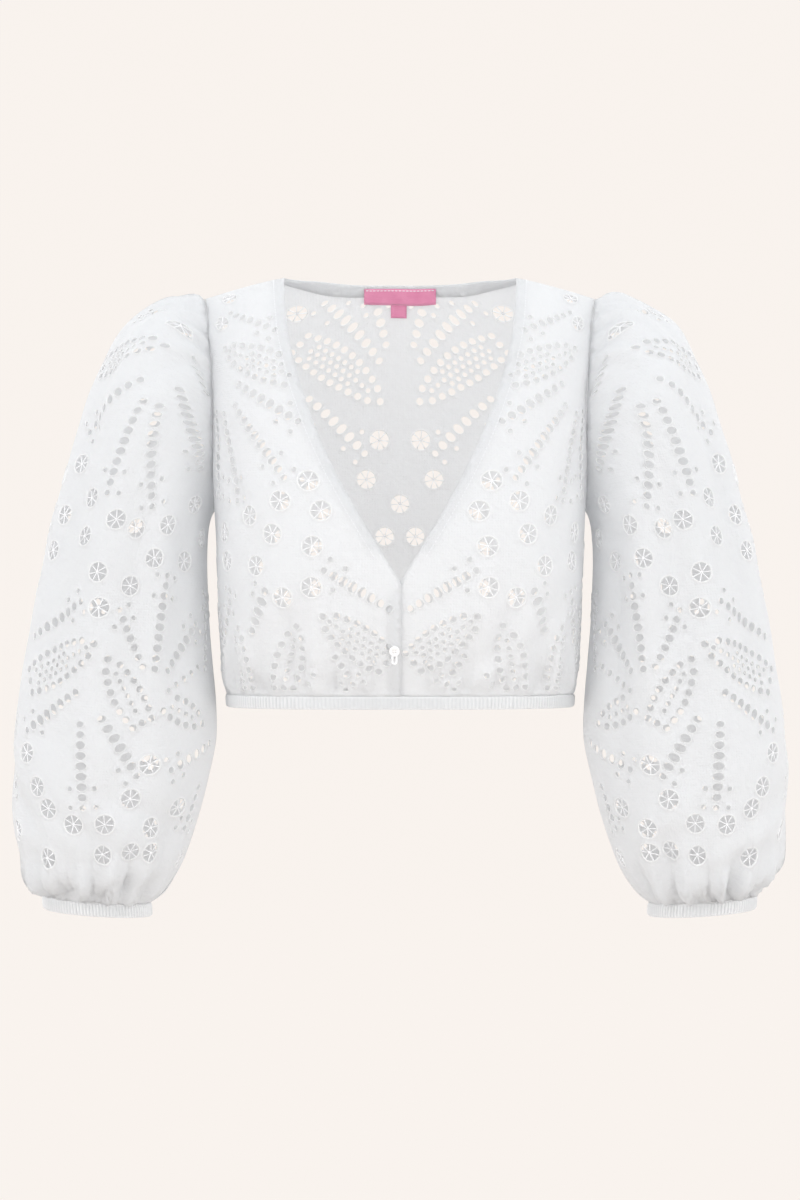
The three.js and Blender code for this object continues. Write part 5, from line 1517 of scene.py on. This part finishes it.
def sewing_thread():
    bpy.ops.object.select_all(action="DESELECT")
    bars = []
    for way in (-1, 1):
        up = BUTTON["thickness"] / 2 - THREAD_BAR["sunk"]
        size = (THREAD_BAR["reach"] * HOLES["at"], THREAD_BAR["width"], THREAD_BAR["height"])
        bpy.ops.mesh.primitive_cube_add(
            size=1, location=Vector((0, way * HOLES["at"], up)) * MM, scale=Vector(size) * MM)
        bars.append(bpy.context.object)
        round_off(bars[-1], "round_thread", THREAD_BAR["round"] * MM, 3)
    bars[0].select_set(True)
    bpy.context.view_layer.objects.active = bars[0]
    bpy.ops.object.join()
    bars[0].name = "button_thread"
    return bars[0]


def seat_on_front(piece):
    spot = np.array([BUTTON["across"]]), np.array([float(BUTTON["down"])])
    seat = on_body("front")(*spot, np.array([0.0]))[0]
    outward = on_body("front")(*spot, np.array([1.0]))[0] - seat
    outward /= np.linalg.norm(outward)
    piece.rotation_euler = Vector(outward).to_track_quat("Z", "Y").to_euler()
    piece.location = Vector((seat + outward * (BUTTON["thickness"] / 2 + BUTTON["lift"])) * MM)
    only(piece)
    bpy.ops.object.transform_apply(location=True, rotation=True, scale=True)
    bpy.ops.object.shade_smooth_by_angle(angle=np.radians(40))


button = pearl_button()
button.data.materials.clear()
give(button, pearl(), "button")
thread = sewing_thread()
sew_on(thread)
for piece in (button, thread):
    seat_on_front(piece)

# %% [markdown]
# White cloth is shown in soft light from all sides, and a pale room gives most of it. Large lamps
# then model the cloth: a key from the upper left shows every rim and fold, low ones at the sides
# and below open the shadows of the sleeves, and two behind light the inside of the back. The floor
# rises into a wall in one sweep, and the room beyond it shows the same pale paper.

# %% The paper sweep
PAPER = "#F9F3EE"
PAPER_GLOW = 0.985
FLOOR_SIZE, FLOOR_Z, FLOOR_SHIFT = 16, -0.78, -3.2
WALL_HEIGHT, SWEEP_RADIUS = 9, 1.2


def studio_floor():
    bpy.ops.object.select_all(action="DESELECT")
    bpy.ops.mesh.primitive_plane_add(size=FLOOR_SIZE, location=(0, 0, FLOOR_Z))
    floor = bpy.context.object
    floor.name = "studio_floor"
    select_none_in_edit_mode("EDGE")
    for edge in floor.data.edges:
        edge.select = all(floor.data.vertices[v].co.y > 0 for v in edge.vertices)
    bpy.ops.object.mode_set(mode="EDIT")
    bpy.ops.mesh.extrude_region_move(TRANSFORM_OT_translate={"value": (0, 0, WALL_HEIGHT)})
    bpy.ops.object.mode_set(mode="OBJECT")
    floor.location.y = FLOOR_SHIFT
    round_off(floor, "sweep", SWEEP_RADIUS, 12)
    floor.data.shade_smooth()
    material, tree, surface = new_material("studio_paper")
    feed(tree, surface, {
        "Base Color": "#1A1918", "Roughness": 1.0, "Specular IOR Level": 0.0,
        "Emission Color": PAPER, "Emission Strength": PAPER_GLOW,
    })
    floor.data.materials.append(material)


studio_floor()

# %% Lamps: name, place, aim, size in metres and power in watts
LAMPS = [
    ("key", (-1.7, -2.0, 1.5), (0, 0, -0.25), 1.2, 6.5),
    ("fill", (2.0, -2.0, 0.2), (0, 0, -0.25), 2.0, 5),
    ("top", (0.2, 0.8, 2.0), (0, 0, -0.2), 1.6, 6),
    ("bounce", (0, -2.0, -1.5), (0, 0, -0.35), 1.8, 18),
    ("side_-1", (-1.5, -1.3, -0.75), (-0.25, 0, -0.42), 1.2, 10.5),
    ("back_-1", (-1.6, 1.8, 0.6), (-0.1, 0, -0.2), 1.5, 11),
    ("side_1", (1.5, -1.3, -0.75), (0.25, 0, -0.42), 1.2, 10.5),
    ("back_1", (1.6, 1.8, 0.6), (0.1, 0, -0.2), 1.5, 11),
]


def softbox(name, place, aim, size, power):
    light = bpy.data.lights.new(name, "AREA")
    light.shape = "SQUARE"
    light.size = size
    light.energy = power
    lamp = bpy.data.objects.new(name, light)
    lamp.location = place
    lamp.visible_camera = False
    lamp.rotation_euler = (Vector(aim) - Vector(place)).to_track_quat("-Z", "Y").to_euler()
    bpy.context.scene.collection.objects.link(lamp)


for lamp in LAMPS:
    softbox(*lamp)
print(len(LAMPS), "lamps")

# %% The room's light, and the paper that the camera sees in its place
ROOM = "#F5F6F7"
ROOM_LIGHT = 1.34


def studio_world():
    world = bpy.data.worlds.new("room")
    world.use_nodes = True
    tree = world.node_tree
    light = tree.nodes["Background"]
    feed(tree, light, {"Color": ROOM, "Strength": ROOM_LIGHT})
    paper = node(tree, "ShaderNodeBackground", {}, {"Color": PAPER, "Strength": PAPER_GLOW})
    ray = node(tree, "ShaderNodeLightPath", {}, {})
    seen = node(tree, "ShaderNodeMixShader", {}, {
        0: ray.outputs["Is Camera Ray"], 1: light.outputs["Background"], 2: paper.outputs["Background"],
    })
    feed(tree, tree.nodes["World Output"], {"Surface": seen.outputs["Shader"]})
    bpy.context.scene.world = world


# %% [markdown]
# The camera stands level in front of the blouse. The photograph's scale fixes how much it sees: 0.82
# millimetres for each of its 1200 rows, with the shoulder line at row 278.

# %% The camera
PHOTO_HEIGHT = 1200
MM_PER_PIXEL = 0.82
SHOULDER_ROW = 278
CENTRE_Z = -(PHOTO_HEIGHT / 2 - SHOULDER_ROW) * MM_PER_PIXEL
CAMERA_DISTANCE = 2600
SENSOR = 36


def studio_camera():
    camera = bpy.data.cameras.new("camera")
    camera.sensor_fit = "VERTICAL"
    camera.sensor_height = SENSOR
    camera.lens = SENSOR * CAMERA_DISTANCE / (PHOTO_HEIGHT * MM_PER_PIXEL)
    camera.clip_end = 50
    holder = bpy.data.objects.new("camera", camera)
    holder.location = (0, -CAMERA_DISTANCE * MM, CENTRE_Z * MM)
    holder.rotation_euler = (np.pi / 2, 0, 0)
    bpy.context.scene.collection.objects.link(holder)
    bpy.context.scene.camera = holder
    print("lens in mm:", round(camera.lens, 1))


studio_camera()
studio_world()
bpy.context.scene.view_settings.view_transform = "Standard"
